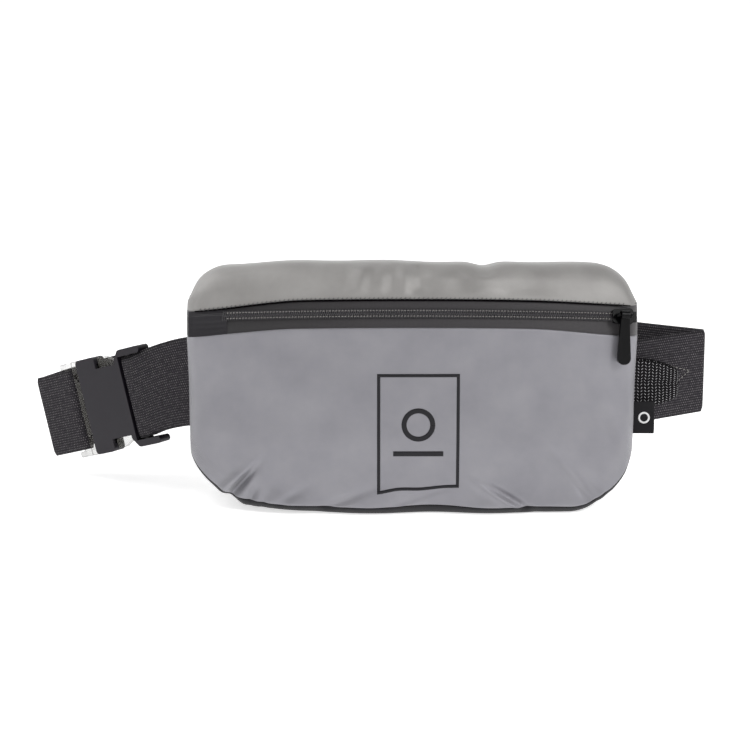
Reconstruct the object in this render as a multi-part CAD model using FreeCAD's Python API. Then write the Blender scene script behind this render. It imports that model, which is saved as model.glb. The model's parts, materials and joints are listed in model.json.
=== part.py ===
"""Belt bag: a soft pouch with a curved front zip, worn on a wide elastic belt with a side-release buckle.

Own frame, millimetres: +X to the wearer's left as the bag is looked at from the front, -Y out of the
front panel, +Z up. The origin is the middle of the flat base.
"""
import FreeCAD, Part
import math
import os

from FreeCAD import Matrix, Rotation, Vector

# ---------------------------------------------------------------- pouch
BAG_WIDTH = 256.0
BAG_HEIGHT = 141.3
BAG_DEPTH = 56.0
FABRIC = 1.4                # coated fabric with its backing
FRONT_BULGE = 3.0           # how far the front swells past its lower edge
LOWER_LEFT = 40.0           # corner radii of the front's outline
LOWER_RIGHT = 30.0
UPPER_CORNER = 27.0
HEM_ROUND = 8.0             # front lower edge
TOP_ROUND = 14.0
BACK_ROUND = 8.0
CURVE_SAG = 12.6            # the bag wraps the waist: how far its ends stand behind its middle
BACK_SEAM = 6.0             # the back panel turns forward by this much before its seam
BASE_SEAM = 7.0             # the base panel's front seam, behind the front plane
BASE_RISE = 3.0             # how far the base panel's edges turn up
HEM_BACK = 0.5              # the lower front edge stands this far behind the front plane
BULGE_SHARE = 0.4           # height of the fullest line of the front, as a share of the bag's
BULGE_ROUND = 90.0
TOP_SLOPE = 2.0             # the top's front stands this far above the bag's height, its back below
SEAM_TAPE = 5.0             # width of the binding inside the back seam
SEAM_TAPE_THICK = 1.0

# ---------------------------------------------------------------- zip
ZIP_DROP = 26.0             # centre line of the zip below the bag's top, in the middle
ZIP_LEAN = 18.0             # degrees the zip leans back from upright
ZIP_BAND = 16.0             # tape seen between the two panels
TAPE = 0.9
TAPE_SLOT = 2.0
COIL_SLOT = 1.4
COIL_REACH = 3.0            # outer edge of a coil from the centre line
COIL_STAND = 1.2            # coil's top above the fabric's outside
COIL_LEFT_IN = 22.0         # left end of the coils, in from the bag's side
COIL_RIGHT_IN = 4.4
ZIP_SHOULDER = 2.0          # the fabric bends this far beyond the tape's edge
ZIP_ROUND = 10.0
END_TAB_LENGTH = 20.0
END_TAB_STAND = 0.6
STOP_LENGTH = 1.6

# ---------------------------------------------------------------- slider and pull
SLIDER_REST_IN = 6.6        # slider's middle to the coils' right end, closed
SLIDER_OPEN_IN = 7.0        # slider's middle to the coils' left end, open
SLIDER_LENGTH = 12.0
SLIDER_WIDTH = 9.4
SLIDER_WAIST = 0.9          # each side of the closed end is narrower by this
SLIDER_PLATE = 1.3
WEDGE_START = 4.5           # the wedge's ends, in from the open end
WEDGE_END = 1.5
WEDGE_GAP = 0.25
RAIL_GAP = 0.4              # between the coils' outer edges and the slider's side rails
SLIDER_GAP = 0.5            # running gap between the slider and the coils and tape
CROWN_RISE = 3.1            # crown's centre line above the front plate
CROWN_SPAN = 7.4
CROWN_WIRE = 1.05           # radius
PULL_LENGTH = 28.0
PULL_TOP = 4.6
PULL_WIDTH = 8.0
PULL_THICK = 2.0
KNUCKLE = 2.4               # outer radius
KNUCKLE_GAP = 0.3
PULL_END_SHARE = 0.43       # radius of the tongue's end, as a share of its width

# ---------------------------------------------------------------- printed frame
PRINT_WIDTH = 46.0
PRINT_HEIGHT = 65.0
PRINT_LINE = 1.7
PRINT_CENTRE = 3.2
PRINT_FOOT = 16.8
PRINT_FILM = 0.3

# ---------------------------------------------------------------- webbing
WEBBING = 50.0
STRAP_AT_BAG = 53.0         # the short strap is gathered a little wider in its seam
STRAP_THICK = 1.6
BELT_THICK = 1.8
BELT_SEAM_Y = 25.0
LEFT_SEAM_DROP = 2.35        # middle of the left seam below the bag's middle height
RIGHT_SEAM_DROP = 3.85
FOLD_RADIUS = 2.5
FOLD_FROM_SEAM = Vector(49.5, 22.0, 3.5)
CORNER_FROM_SEAM = Vector(14.0, 55.0, 3.5)
BACK_TURN = 60.0
BELT_JOINT_IN = 6.0         # where the belt's buckle end begins, in from the buckle's mouth
STRAP_LIFT = 1.5            # the short strap's middle bows up by this
LATE_DROP = 3.3             # power of the belt's fall behind the bag: level at first, steep by the buckle
LAYER_GAP = 1.0             # between the short strap's two layers, half way along
BODY_GAP = 0.4
WRAP_GAP = 0.3             # webbing stands off the bar that it goes round

# ---------------------------------------------------------------- side loop and label
LOOP_REACH = 28.0
LOOP_FRONT_Y = 13.0
LOOP_GAP = 8.0
LOOP_THICK = 1.3
LOOP_FOOT = 54.3
LOOP_TALL = 28.5
LABEL_REACH = 13.5
LABEL_FOOT = 40.0
LABEL_TALL = 19.0
LABEL_Y = 7.5
LABEL_THICK = 1.0

# ---------------------------------------------------------------- buckle
MOUTH_FROM_SEAM = Vector(-68.0, 39.0, -23.6)
BUCKLE_YAW = 30.0           # degrees the buckle is swung back from the bag's width
BUCKLE_DROOP = 15.5         # degrees it hangs below level
BUCKLE_CHEEK = 4.5          # each side of the mouth beyond the webbing's edge
BUCKLE_THICK = 10.0
BUCKLE_WALL = 2.0
SOCKET_WALL = 4.5           # mouth's side wall beside the socket
SOCKET_DEPTH = 31.0
BAND = 15.0                 # mouth band in front of the windows
WINDOW_END = 30.0
WINDOW_CUT = 7.5
PLATE_END = 33.5
BAR_START = 36.0
BAR_END = 42.0
BAR_THICK = 5.0
LOBE_END = 51.0
LOBE_OUT = 0.5              # lobes stand out beyond the mouth's sides
LOBE_TIP_SHARE = 0.48       # radius at a lobe's end, as a share of its width
NECK_ROUND = 3.0            # radii of the curve from the window's end out to the lobe
SLOT_CLEAR = 0.8            # rail's gap beside the webbing
MALE_GAP = 0.5
MALE_BASE = 4.5
MALE_BAR = 8.0
MALE_BAR_END = 12.5
MALE_END = 14.5
MALE_THICK = 8.0
MALE_BAR_THICK = 4.0
TONGUE_HALF = 8.5
TONGUE_REACH = 27.0
TONGUE_THICK = 4.6
ARM_ROOT_IN = 9.5           # arm's bending point, in from the buckle's side
ARM_ROOT_B = 2.2
ARM_WIDTH = 3.6
ARM_THICK = 4.6
ARM_REACH = 28.5
BARB_IN = 1.1               # barb's outer face, in from the buckle's side
BARB_GAP = 0.6              # between the barb and the mouth band it catches
ARM_NOTCH = 0.35
FOLD_REACH = 35.5           # from the mouth to the belt's fold
TAIL_REACH = 25.0

# ---------------------------------------------------------------- values worked out from the above
HALF_WIDTH = BAG_WIDTH / 2
ZIP_HEIGHT = BAG_HEIGHT - ZIP_DROP
COIL_LEFT = COIL_LEFT_IN - HALF_WIDTH
COIL_RIGHT = HALF_WIDTH - COIL_RIGHT_IN
SLIDER_REST = COIL_RIGHT - SLIDER_REST_IN
SLIDER_OPEN = COIL_LEFT + SLIDER_OPEN_IN
LEFT_SEAM = Vector(-HALF_WIDTH, BELT_SEAM_Y, BAG_HEIGHT / 2 - LEFT_SEAM_DROP)
RIGHT_SEAM = Vector(HALF_WIDTH, BELT_SEAM_Y, BAG_HEIGHT / 2 - RIGHT_SEAM_DROP)
RIGHT_FOLD = RIGHT_SEAM + FOLD_FROM_SEAM
BACK_CORNER = RIGHT_SEAM + CORNER_FROM_SEAM
BUCKLE_MOUTH = LEFT_SEAM + MOUTH_FROM_SEAM
BELT_JOINT_X = BUCKLE_MOUTH.x + BELT_JOINT_IN
BUCKLE_HALF = WEBBING / 2 + BUCKLE_CHEEK
SOCKET_HALF = BUCKLE_HALF - SOCKET_WALL
LOBE_HALF = BUCKLE_HALF + LOBE_OUT
ARM_ROOT = BUCKLE_HALF - ARM_ROOT_IN
BARB_OUT = BUCKLE_HALF - BARB_IN
OVERRUN = 8.0               # cutting shapes run past the ends of what they cut by this
FAR = 20.0                  # and past its sides by this
CURVE_RADIUS = (HALF_WIDTH ** 2 + CURVE_SAG ** 2) / (2 * CURVE_SAG)
FRONT_Y = -BAG_DEPTH / 2
BACK_Y = BAG_DEPTH / 2 - 1.0
LEAN = math.radians(ZIP_LEAN)
ZIP_UP = Vector(0, math.sin(LEAN), math.cos(LEAN))
ZIP_OUT = Vector(0, -math.cos(LEAN), math.sin(LEAN))
ZIP_CENTRE = Vector(0, FRONT_Y + 1.0, ZIP_HEIGHT)
AXIS_POINT = ZIP_CENTRE - ZIP_OUT * CURVE_RADIUS
CURVE_AXIS = ZIP_UP * -1.0


def rounded_wire(corners, place):
    """Closed wire of straight runs and tangent arcs; corners are (u, v, radius), placed by place(u, v)."""
    edges = []
    ends = []
    count = len(corners)
    for i in range(count):
        u, v, radius = corners[i]
        here = Vector(u, v, 0)
        before = (Vector(*corners[i - 1][:2], 0) - here).normalize()
        after = (Vector(*corners[(i + 1) % count][:2], 0) - here).normalize()
        if radius == 0:
            ends.append((here, here, here))
            continue
        half = before.getAngle(after) / 2
        reach = radius / math.tan(half)
        middle = (before + after).normalize()
        crown = here + middle * (radius / math.sin(half) - radius)
        ends.append((here + before * reach, crown, here + after * reach))
    for i in range(count):
        start, crown, stop = ends[i]
        follow = ends[(i + 1) % count][0]
        if (start - stop).Length > 1e-6:
            edges.append(Part.Arc(place(start.x, start.y), place(crown.x, crown.y),
                                  place(stop.x, stop.y)).toShape())
        if (stop - follow).Length > 1e-6:
            edges.append(Part.makeLine(place(stop.x, stop.y), place(follow.x, follow.y)))
    return Part.Wire(edges)


def section(y, z):
    """A point of the bag's middle section, the plane X = 0."""
    return Vector(0, y, z)


def zip_section(along, out):
    """A point of the middle section measured from the zip: along its tape, and out of it."""
    return ZIP_CENTRE + ZIP_UP * along + ZIP_OUT * out


def turn_at(x):
    """Angle in degrees about the curve axis that carries the middle section to this X."""
    return -math.degrees(math.asin(x / CURVE_RADIUS))


def curved(wire, x_start, x_end):
    """The middle-section outline swept round the waist curve from x_start to x_end."""
    face = Part.Face(wire)
    face.rotate(AXIS_POINT, CURVE_AXIS, turn_at(x_start))
    return face.revolve(AXIS_POINT, CURVE_AXIS, turn_at(x_end) - turn_at(x_start))


def curved_box(y_low, y_high, z_low, z_high):
    """A box in the middle section, swept past both ends of the bag."""
    corners = [(y_low, z_low, 0), (y_high, z_low, 0), (y_high, z_high, 0), (y_low, z_high, 0)]
    return curved(rounded_wire(corners, section), -HALF_WIDTH - OVERRUN, HALF_WIDTH + OVERRUN)


def zip_strip(along_low, along_high, out_low, out_high, x_start, x_end):
    """A rectangular strip that follows the zip."""
    corners = [(along_low, out_low, 0), (along_high, out_low, 0),
               (along_high, out_high, 0), (along_low, out_high, 0)]
    return curved(rounded_wire(corners, zip_section), x_start, x_end)


def pouch(inset):
    """The bag's filled shape, with every face moved in by inset."""
    low = zip_section(-ZIP_BAND / 2 - ZIP_SHOULDER, 0)
    high = zip_section(ZIP_BAND / 2 + ZIP_SHOULDER, 0)
    corners = [
        (FRONT_Y + HEM_BACK, 0, HEM_ROUND),
        (FRONT_Y - FRONT_BULGE, BULGE_SHARE * BAG_HEIGHT, BULGE_ROUND),
        (low.y, low.z, ZIP_ROUND),
        (high.y, high.z, ZIP_ROUND),
        (-BAG_DEPTH / 4, BAG_HEIGHT + TOP_SLOPE, TOP_ROUND),
        (BACK_Y, BAG_HEIGHT - TOP_SLOPE, BACK_ROUND),
        (BACK_Y, 0, BACK_ROUND),
    ]
    profile = rounded_wire(corners, section)
    outline = rounded_wire(
        [(-HALF_WIDTH, 0, LOWER_LEFT), (HALF_WIDTH, 0, LOWER_RIGHT),
         (HALF_WIDTH, BAG_HEIGHT + TOP_SLOPE, UPPER_CORNER),
         (-HALF_WIDTH, BAG_HEIGHT + TOP_SLOPE, UPPER_CORNER)],
        lambda x, z: Vector(x, -BAG_DEPTH, z))
    if inset:
        profile = profile.makeOffset2D(-inset)
        outline = outline.makeOffset2D(-inset)
    body = curved(profile, -HALF_WIDTH - OVERRUN, HALF_WIDTH + OVERRUN)
    return body.common(Part.Face(outline).extrude(Vector(0, 3 * BAG_DEPTH, 0)))


def save(name, shape):
    """Write one node as STEP and say how big it is."""
    solids = shape.Solids
    result = solids[0] if len(solids) == 1 else Part.makeCompound(solids)
    box = result.BoundBox
    result.exportStep("parts/" + name + ".step")
    print("%-20s %d solid(s) %8.0f mm3  valid %s  x %.1f..%.1f y %.1f..%.1f z %.1f..%.1f" % (
        name, len(solids), result.Volume, result.isValid(),
        box.XMin, box.XMax, box.YMin, box.YMax, box.ZMin, box.ZMax))


# ---------------------------------------------------------------- fabric panels
def make_panels():
    """Front, top, back and base panels of one fabric skin, and the binding inside the back seam."""
    outer = pouch(0)
    inner = pouch(FABRIC)
    skin = outer.cut(inner)
    window = zip_strip(-ZIP_BAND / 2, ZIP_BAND / 2, -FABRIC, FAR,
                       -HALF_WIDTH - OVERRUN, HALF_WIDTH + OVERRUN)
    rear = curved_box(BACK_Y - BACK_SEAM, BACK_Y + FAR, -FAR, BAG_HEIGHT + FAR)
    under = curved_box(FRONT_Y + BASE_SEAM, BACK_Y - BACK_SEAM, -FAR, BASE_RISE)
    above = curved_box(FRONT_Y - FAR, BACK_Y - BACK_SEAM, ZIP_HEIGHT, BAG_HEIGHT + FAR)
    save("back_panel", skin.common(rear))
    save("base_panel", skin.common(under))
    forward = skin.cut(window).cut(rear).cut(under)
    save("top_panel", forward.common(above))
    save("front_panel", forward.cut(above))
    binding = inner.cut(pouch(FABRIC + SEAM_TAPE_THICK))
    strip = curved_box(BACK_Y - BACK_SEAM - SEAM_TAPE, BACK_Y - BACK_SEAM, -FAR, BAG_HEIGHT + FAR)
    save("seam_binding", binding.common(strip))
    return outer


def make_print(outer):
    """A thin film on the front panel: the outline of an upright rectangle."""
    def upright(width, height, foot):
        left = PRINT_CENTRE - width / 2
        return Part.makeBox(width, BAG_DEPTH, height, Vector(left, FRONT_Y - FAR, foot))
    ring = upright(PRINT_WIDTH, PRINT_HEIGHT, PRINT_FOOT).cut(
        upright(PRINT_WIDTH - 2 * PRINT_LINE, PRINT_HEIGHT - 2 * PRINT_LINE, PRINT_FOOT + PRINT_LINE))
    save("printed_frame", pouch(-PRINT_FILM).cut(outer).common(ring))


# ---------------------------------------------------------------- zip
def make_zip(outer):
    """Two tapes, two coils, the end tab over their left ends and the stop at the right."""
    tape_top = TAPE - FABRIC
    for name, side in (("upper", 1), ("lower", -1)):
        edges = sorted((side * TAPE_SLOT / 2, side * ZIP_BAND / 2))
        tape = zip_strip(edges[0], edges[1], -FABRIC, tape_top, -HALF_WIDTH - OVERRUN, HALF_WIDTH + OVERRUN)
        save("zip_tape_" + name, tape.common(outer))
        edges = sorted((side * COIL_SLOT / 2, side * COIL_REACH))
        save("zip_coil_" + name, zip_strip(edges[0], edges[1], tape_top, COIL_STAND, COIL_LEFT, COIL_RIGHT))
    tab_start = COIL_LEFT - END_TAB_LENGTH
    save("zip_end_tab", zip_strip(-ZIP_BAND / 2, ZIP_BAND / 2, tape_top, END_TAB_STAND,
                                  tab_start, COIL_LEFT))
    save("zip_stop", zip_strip(-COIL_REACH, COIL_REACH, tape_top, COIL_STAND,
                               COIL_RIGHT, COIL_RIGHT + STOP_LENGTH))


# ---------------------------------------------------------------- slider, crown and pull
PLATE_LOW = COIL_STAND + SLIDER_GAP
PLATE_HIGH = PLATE_LOW + SLIDER_PLATE
CROWN_OUT = PLATE_HIGH + CROWN_RISE


def zip_block(x_low, x_high, along_low, along_high, out_low, out_high):
    """A block built on the zip at the middle of the bag."""
    face = Part.Face(rounded_wire(
        [(along_low, out_low, 0), (along_high, out_low, 0), (along_high, out_high, 0),
         (along_low, out_high, 0)], zip_section))
    face.translate(Vector(x_low, 0, 0))
    return face.extrude(Vector(x_high - x_low, 0, 0))


def to_rest(shape):
    """Carry a shape from the middle of the zip to where the slider rests."""
    shape.rotate(AXIS_POINT, CURVE_AXIS, turn_at(SLIDER_REST))
    return shape


def slider_outline():
    """Front plate seen from outside: wide at the open end, waisted, round at both ends."""
    half = SLIDER_LENGTH / 2
    wide = SLIDER_WIDTH / 2
    narrow = wide - SLIDER_WAIST
    corners = [(-half, -narrow, 1.6), (half, -wide, 2.2), (half, wide, 2.2), (-half, narrow, 1.6)]
    return corners


def slider_plate(out_low, out_high):
    """One plate of the slider between two heights above the tape."""
    face = Part.Face(rounded_wire(slider_outline(),
                                  lambda x, along: zip_section(along, out_low) + Vector(x, 0, 0)))
    return face.extrude(ZIP_OUT * (out_high - out_low))


def make_slider():
    """Slider body with plates in front of and behind the tape, and the crown that holds the pull."""
    back_high = -FABRIC - SLIDER_GAP
    flange_in = COIL_REACH + RAIL_GAP
    flange_low = TAPE - FABRIC + SLIDER_GAP
    half = SLIDER_LENGTH / 2
    wide = SLIDER_WIDTH / 2
    rails = zip_block(-half, half, flange_in, wide, flange_low, PLATE_LOW)
    rails = rails.fuse(zip_block(-half, half, -wide, -flange_in, flange_low, PLATE_LOW))
    rails = rails.common(slider_plate(flange_low, PLATE_LOW))
    wedge_half = COIL_SLOT / 2 - WEDGE_GAP
    wedge = zip_block(half - WEDGE_START, half - WEDGE_END, -wedge_half, wedge_half,
                      back_high, PLATE_LOW)
    body = slider_plate(PLATE_LOW, PLATE_HIGH).fuse([rails, wedge,
                                                     slider_plate(back_high - SLIDER_PLATE, back_high)])
    save("slider_body", to_rest(body))

    top = zip_section(0, CROWN_OUT)
    bar = Part.makeCylinder(CROWN_WIRE, CROWN_SPAN, top - Vector(CROWN_SPAN / 2, 0, 0), Vector(1, 0, 0))
    pieces = []
    for end in (-1, 1):
        foot = zip_section(0, PLATE_HIGH) + Vector(end * CROWN_SPAN / 2, 0, 0)
        pieces.append(Part.makeCylinder(CROWN_WIRE, CROWN_RISE, foot, ZIP_OUT))
        pieces.append(Part.makeSphere(CROWN_WIRE, foot + ZIP_OUT * CROWN_RISE))
    save("slider_crown", to_rest(bar.fuse(pieces)))


def axes_matrix(origin, x_axis, y_axis, z_axis):
    """Matrix that carries local X, Y, Z onto the three given directions at the origin given."""
    return Matrix(x_axis.x, y_axis.x, z_axis.x, origin.x,
                  x_axis.y, y_axis.y, z_axis.y, origin.y,
                  x_axis.z, y_axis.z, z_axis.z, origin.z, 0, 0, 0, 1)


def make_pull():
    """Tapered tongue hanging from a knuckle round the crown's bar."""
    turn = Rotation(CURVE_AXIS, turn_at(SLIDER_REST))
    pivot = AXIS_POINT + turn.multVec(zip_section(0, CROWN_OUT) - AXIS_POINT)
    along = turn.multVec(Vector(1, 0, 0))
    up = (Vector(0, 0, 1) - along * along.z).normalize()
    out = up.cross(along)
    frame = axes_matrix(pivot, along, out, up)
    bore = CROWN_WIRE + KNUCKLE_GAP
    knuckle_half = CROWN_SPAN / 2 - CROWN_WIRE - KNUCKLE_GAP
    knuckle = Part.makeCylinder(KNUCKLE, 2 * knuckle_half, Vector(-knuckle_half, 0, 0), Vector(1, 0, 0))
    end = PULL_END_SHARE * PULL_WIDTH
    corners = [(-PULL_TOP / 2, -1.0, 0), (-PULL_WIDTH / 2, -PULL_LENGTH, end),
               (PULL_WIDTH / 2, -PULL_LENGTH, end), (PULL_TOP / 2, -1.0, 0)]
    tongue = Part.Face(rounded_wire(corners, lambda x, z: Vector(x, -PULL_THICK / 2, z)))
    tongue = tongue.extrude(Vector(0, PULL_THICK, 0))
    tongue.rotate(Vector(0, 0, 0), Vector(0, 1, 0), math.degrees(math.asin(along.z)))
    hole = Part.makeCylinder(bore, 4 * knuckle_half, Vector(-2 * knuckle_half, 0, 0), Vector(1, 0, 0))
    pull = knuckle.fuse(tongue).cut(hole)
    pull.transformShape(frame, False)
    save("zip_pull", pull)
    print("pull joint at", pivot, "axis", along * -1.0)


# ---------------------------------------------------------------- webbing
def band(stations, width_of, thick):
    """A flat band through stations (centre, thickness direction, width direction)."""
    wires = []
    for i, (centre, side, up) in enumerate(stations):
        half_up = up * (width_of(i) / 2)
        half_side = side * (thick / 2)
        corners = [centre - half_side - half_up, centre + half_side - half_up,
                   centre + half_side + half_up, centre - half_side + half_up]
        wires.append(Part.makePolygon(corners + corners[:1]))
    return Part.makeLoft(wires, True, True)


def level_side(heading):
    """Horizontal direction to the left of a heading given in degrees."""
    return Vector(-math.sin(math.radians(heading)), math.cos(math.radians(heading)), 0)


def fold_turn(corner, heading_in, heading_out, steps):
    """Stations round a tight fold: centres on a small arc, thickness pointing out of the turn."""
    sign = 1 if heading_out > heading_in else -1
    pivot = corner + (level_side(heading_in) * sign - heading_vector(heading_in)) * FOLD_RADIUS
    stations = []
    for i in range(steps + 1):
        heading = heading_in + (heading_out - heading_in) * i / steps
        side = level_side(heading)
        stations.append((pivot - side * (sign * FOLD_RADIUS), side))
    return stations


def heading_vector(heading):
    """Horizontal unit vector of a heading in degrees."""
    return Vector(math.cos(math.radians(heading)), math.sin(math.radians(heading)), 0)


def belt_back_line(t):
    """Centre and width direction of the belt's back run, from the right turn to the left fold."""
    start = back_turn_end()
    end = rear_layer_start()
    centre = start + (end - start) * t
    fall = t ** LATE_DROP
    centre.z = start.z + (end.z - start.z) * fall
    up = Vector(0, 0, 1) * (1 - fall) + BUCKLE_W * fall
    return centre, up.normalize()


def seam_heading():
    """Heading of the belt as it leaves the right seam."""
    step = RIGHT_FOLD - RIGHT_SEAM
    return math.degrees(math.atan2(step.y, step.x))


def corner_heading():
    """Heading of the belt between the right fold and the turn behind the bag."""
    step = BACK_CORNER - RIGHT_FOLD
    return math.degrees(math.atan2(step.y, step.x))


def back_turn_end():
    """Where the wide turn behind the right side ends, heading straight left."""
    centre = BACK_CORNER + level_side(corner_heading()) * BACK_TURN
    return centre + Vector(0, BACK_TURN, 0)


BUCKLE_U = Vector(-math.cos(math.radians(BUCKLE_DROOP)) * math.cos(math.radians(BUCKLE_YAW)),
                  math.cos(math.radians(BUCKLE_DROOP)) * math.sin(math.radians(BUCKLE_YAW)),
                  -math.sin(math.radians(BUCKLE_DROOP)))
BUCKLE_N = Vector(-math.sin(math.radians(BUCKLE_YAW)), -math.cos(math.radians(BUCKLE_YAW)), 0)
BUCKLE_W = BUCKLE_U.cross(BUCKLE_N)
BUCKLE_FRAME = axes_matrix(BUCKLE_MOUTH, BUCKLE_W, BUCKLE_U, BUCKLE_N)
BELT_FRONT_C = MALE_BAR_THICK / 2 + WRAP_GAP + BELT_THICK / 2


def fold_pivot():
    """Centre of the left fold's turn."""
    return BUCKLE_MOUTH + BUCKLE_U * (FOLD_REACH - FOLD_RADIUS) + BUCKLE_N * (BELT_FRONT_C - FOLD_RADIUS)


def rear_layer_start():
    """Where the belt's rear layer leaves the left fold."""
    return fold_pivot() - BUCKLE_N * FOLD_RADIUS


def make_belt():
    """Long elastic belt: right seam, right fold, round behind the bag, towards the buckle."""
    upright = Vector(0, 0, 1)
    stations = [(RIGHT_SEAM, Vector(0, 1, 0), upright)]
    turn = fold_turn(RIGHT_FOLD, seam_heading(), corner_heading(), 6)
    stations += [(centre, side, upright) for centre, side in turn]
    stations.append((BACK_CORNER, level_side(corner_heading()), upright))
    pivot = BACK_CORNER + level_side(corner_heading()) * BACK_TURN
    for i in range(1, 5):
        heading = corner_heading() + (180 - corner_heading()) * i / 4
        side = level_side(heading)
        stations.append((pivot - side * BACK_TURN, side, upright))
    start = back_turn_end()
    end = rear_layer_start()
    share = (BELT_JOINT_X + BODY_GAP - start.x) / (end.x - start.x)
    run = (end - start).normalize()
    for i in range(1, 9):
        centre, up = belt_back_line(share * i / 8)
        side = run.cross(up).normalize() * -1.0
        stations.append((centre, side, up))
    save("belt_main", band(stations, lambda i: WEBBING, BELT_THICK))


def local_prism(corners, depth_low, depth_high):
    """Buckle-frame solid: outline in (width, axis), between two depths, in local axes."""
    face = Part.Face(rounded_wire(corners, lambda a, b: Vector(a, b, depth_low)))
    return face.extrude(Vector(0, 0, depth_high - depth_low))


def block(a_low, a_high, b_low, b_high, c_low, c_high, round_by=0):
    """Buckle-frame block, its outline's corners rounded."""
    corners = [(a_low, b_low, round_by), (a_high, b_low, round_by),
               (a_high, b_high, round_by), (a_low, b_high, round_by)]
    return local_prism(corners, c_low, c_high)


def round_bar(b_low, b_high, half_deep, width):
    """A bar across the buckle, its long edges rounded."""
    edge = half_deep * 0.98
    corners = [(b_low, -half_deep, edge), (b_high, -half_deep, edge),
               (b_high, half_deep, edge), (b_low, half_deep, edge)]
    face = Part.Face(rounded_wire(corners, lambda b, c: Vector(-width / 2, b, c)))
    return face.extrude(Vector(width, 0, 0))


def wrap(bar_low, bar_high, half_deep, thick, clear, width, keep_high):
    """Webbing bent round a bar, kept on one side of the bar's middle."""
    grow = clear + thick
    ring = round_bar(bar_low - grow, bar_high + grow, half_deep + grow, width).cut(
        round_bar(bar_low - clear, bar_high + clear, half_deep + clear, width))
    middle = (bar_low + bar_high) / 2
    if keep_high:
        return ring.common(block(-width, width, middle, middle + 2 * FAR, -FAR, FAR))
    return ring.common(block(-width, width, middle - 2 * FAR, middle, -FAR, FAR))


def make_strap():
    """Short elastic strap: sewn in the left seam, doubled round the female buckle's bar."""
    clear = WRAP_GAP
    middle = -(BAR_START + BAR_END) / 2
    loop = wrap(-BAR_END, -BAR_START, BAR_THICK / 2, STRAP_THICK, clear, WEBBING, True)
    reach = BAR_THICK / 2 + clear + STRAP_THICK
    front = block(-WEBBING / 2, WEBBING / 2, -BAR_END - 3, middle, reach - STRAP_THICK, reach)
    rear = block(-WEBBING / 2, WEBBING / 2, -BAR_END - 3, middle, -reach, STRAP_THICK - reach)
    loop = loop.fuse([front, rear])
    loop.transformShape(BUCKLE_FRAME, False)
    start = BUCKLE_MOUTH - BUCKLE_U * (BAR_END + 3)
    middle_point = (start + LEFT_SEAM) * 0.5 + Vector(0, 0, STRAP_LIFT)
    middle_up = (BUCKLE_W + Vector(0, 0, 1)).normalize()
    stations = [(start, BUCKLE_N, BUCKLE_W), (middle_point, BUCKLE_N, middle_up),
                (LEFT_SEAM, Vector(0, -1, 0), Vector(0, 0, 1))]
    thick = [2 * reach, 2 * STRAP_THICK + LAYER_GAP, 2 * STRAP_THICK]
    wide = [WEBBING, WEBBING, STRAP_AT_BAG]
    wires = []
    for (centre, side, up), deep, tall in zip(stations, thick, wide):
        corners = [centre + side * (s * deep / 2) + up * (u * tall / 2)
                   for s, u in ((-1, -1), (1, -1), (1, 1), (-1, 1))]
        wires.append(Part.makePolygon(corners + corners[:1]))
    save("strap_left", loop.fuse(Part.makeLoft(wires, True, True)))


# ---------------------------------------------------------------- buckle
def make_female():
    """Female half: mouth band, socket, side windows, webbing slot, bar and rounded lobes."""
    half = BUCKLE_THICK / 2
    waist = BUCKLE_HALF - WINDOW_CUT
    inner = WEBBING / 2 + SLOT_CLEAR
    body = block(-BUCKLE_HALF, BUCKLE_HALF, -BAND, 0, -half, half, 2.5)
    body = body.fuse(block(-waist, waist, -PLATE_END, -2, -half, half, 0))
    tip = LOBE_TIP_SHARE * (LOBE_HALF - inner)
    shoulder = [(-LOBE_HALF, -LOBE_END, tip), (-inner, -LOBE_END, tip), (-inner, -PLATE_END, 0),
                (inner, -PLATE_END, 0), (inner, -LOBE_END, tip), (LOBE_HALF, -LOBE_END, tip),
                (LOBE_HALF, -PLATE_END - 1, NECK_ROUND), (waist + 2, -WINDOW_END, NECK_ROUND),
                (-waist - 2, -WINDOW_END, NECK_ROUND), (-LOBE_HALF, -PLATE_END - 1, NECK_ROUND)]
    body = body.fuse(local_prism(shoulder, -half, half))
    bar = round_bar(-BAR_END, -BAR_START, BAR_THICK / 2, 2 * inner + 2)
    socket = block(-SOCKET_HALF, SOCKET_HALF, -SOCKET_DEPTH, 5, -half + BUCKLE_WALL, half - BUCKLE_WALL)
    windows = block(-LOBE_HALF - FAR, -waist, -WINDOW_END + 0.5, -BAND, -FAR, FAR).fuse(
        block(waist, LOBE_HALF + FAR, -WINDOW_END + 0.5, -BAND, -FAR, FAR))
    body = body.fuse(bar).cut(socket).cut(windows)
    body = body.removeSplitter()
    body.transformShape(BUCKLE_FRAME, False)
    save("buckle_female", body)


def arm_outline(side):
    """Latch arm outline in (width, axis): a round root, a thin stem and a barbed head."""
    inner = ARM_ROOT - ARM_WIDTH / 2
    outer = ARM_ROOT + ARM_WIDTH / 2
    shoulder = -BAND - BARB_GAP
    corners = [(inner, ARM_ROOT_B, 0), (inner, -ARM_REACH + 3, 1.5), (outer - 1.2, -ARM_REACH, 1.2),
               (outer + 2.6, -ARM_REACH, 1.0), (BARB_OUT, shoulder - 5, 3.0), (BARB_OUT, shoulder, 0.6),
               (outer, shoulder, 0.5), (outer, ARM_ROOT_B, 0)]
    return [(side * a, b, r) for a, b, r in corners]


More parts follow.
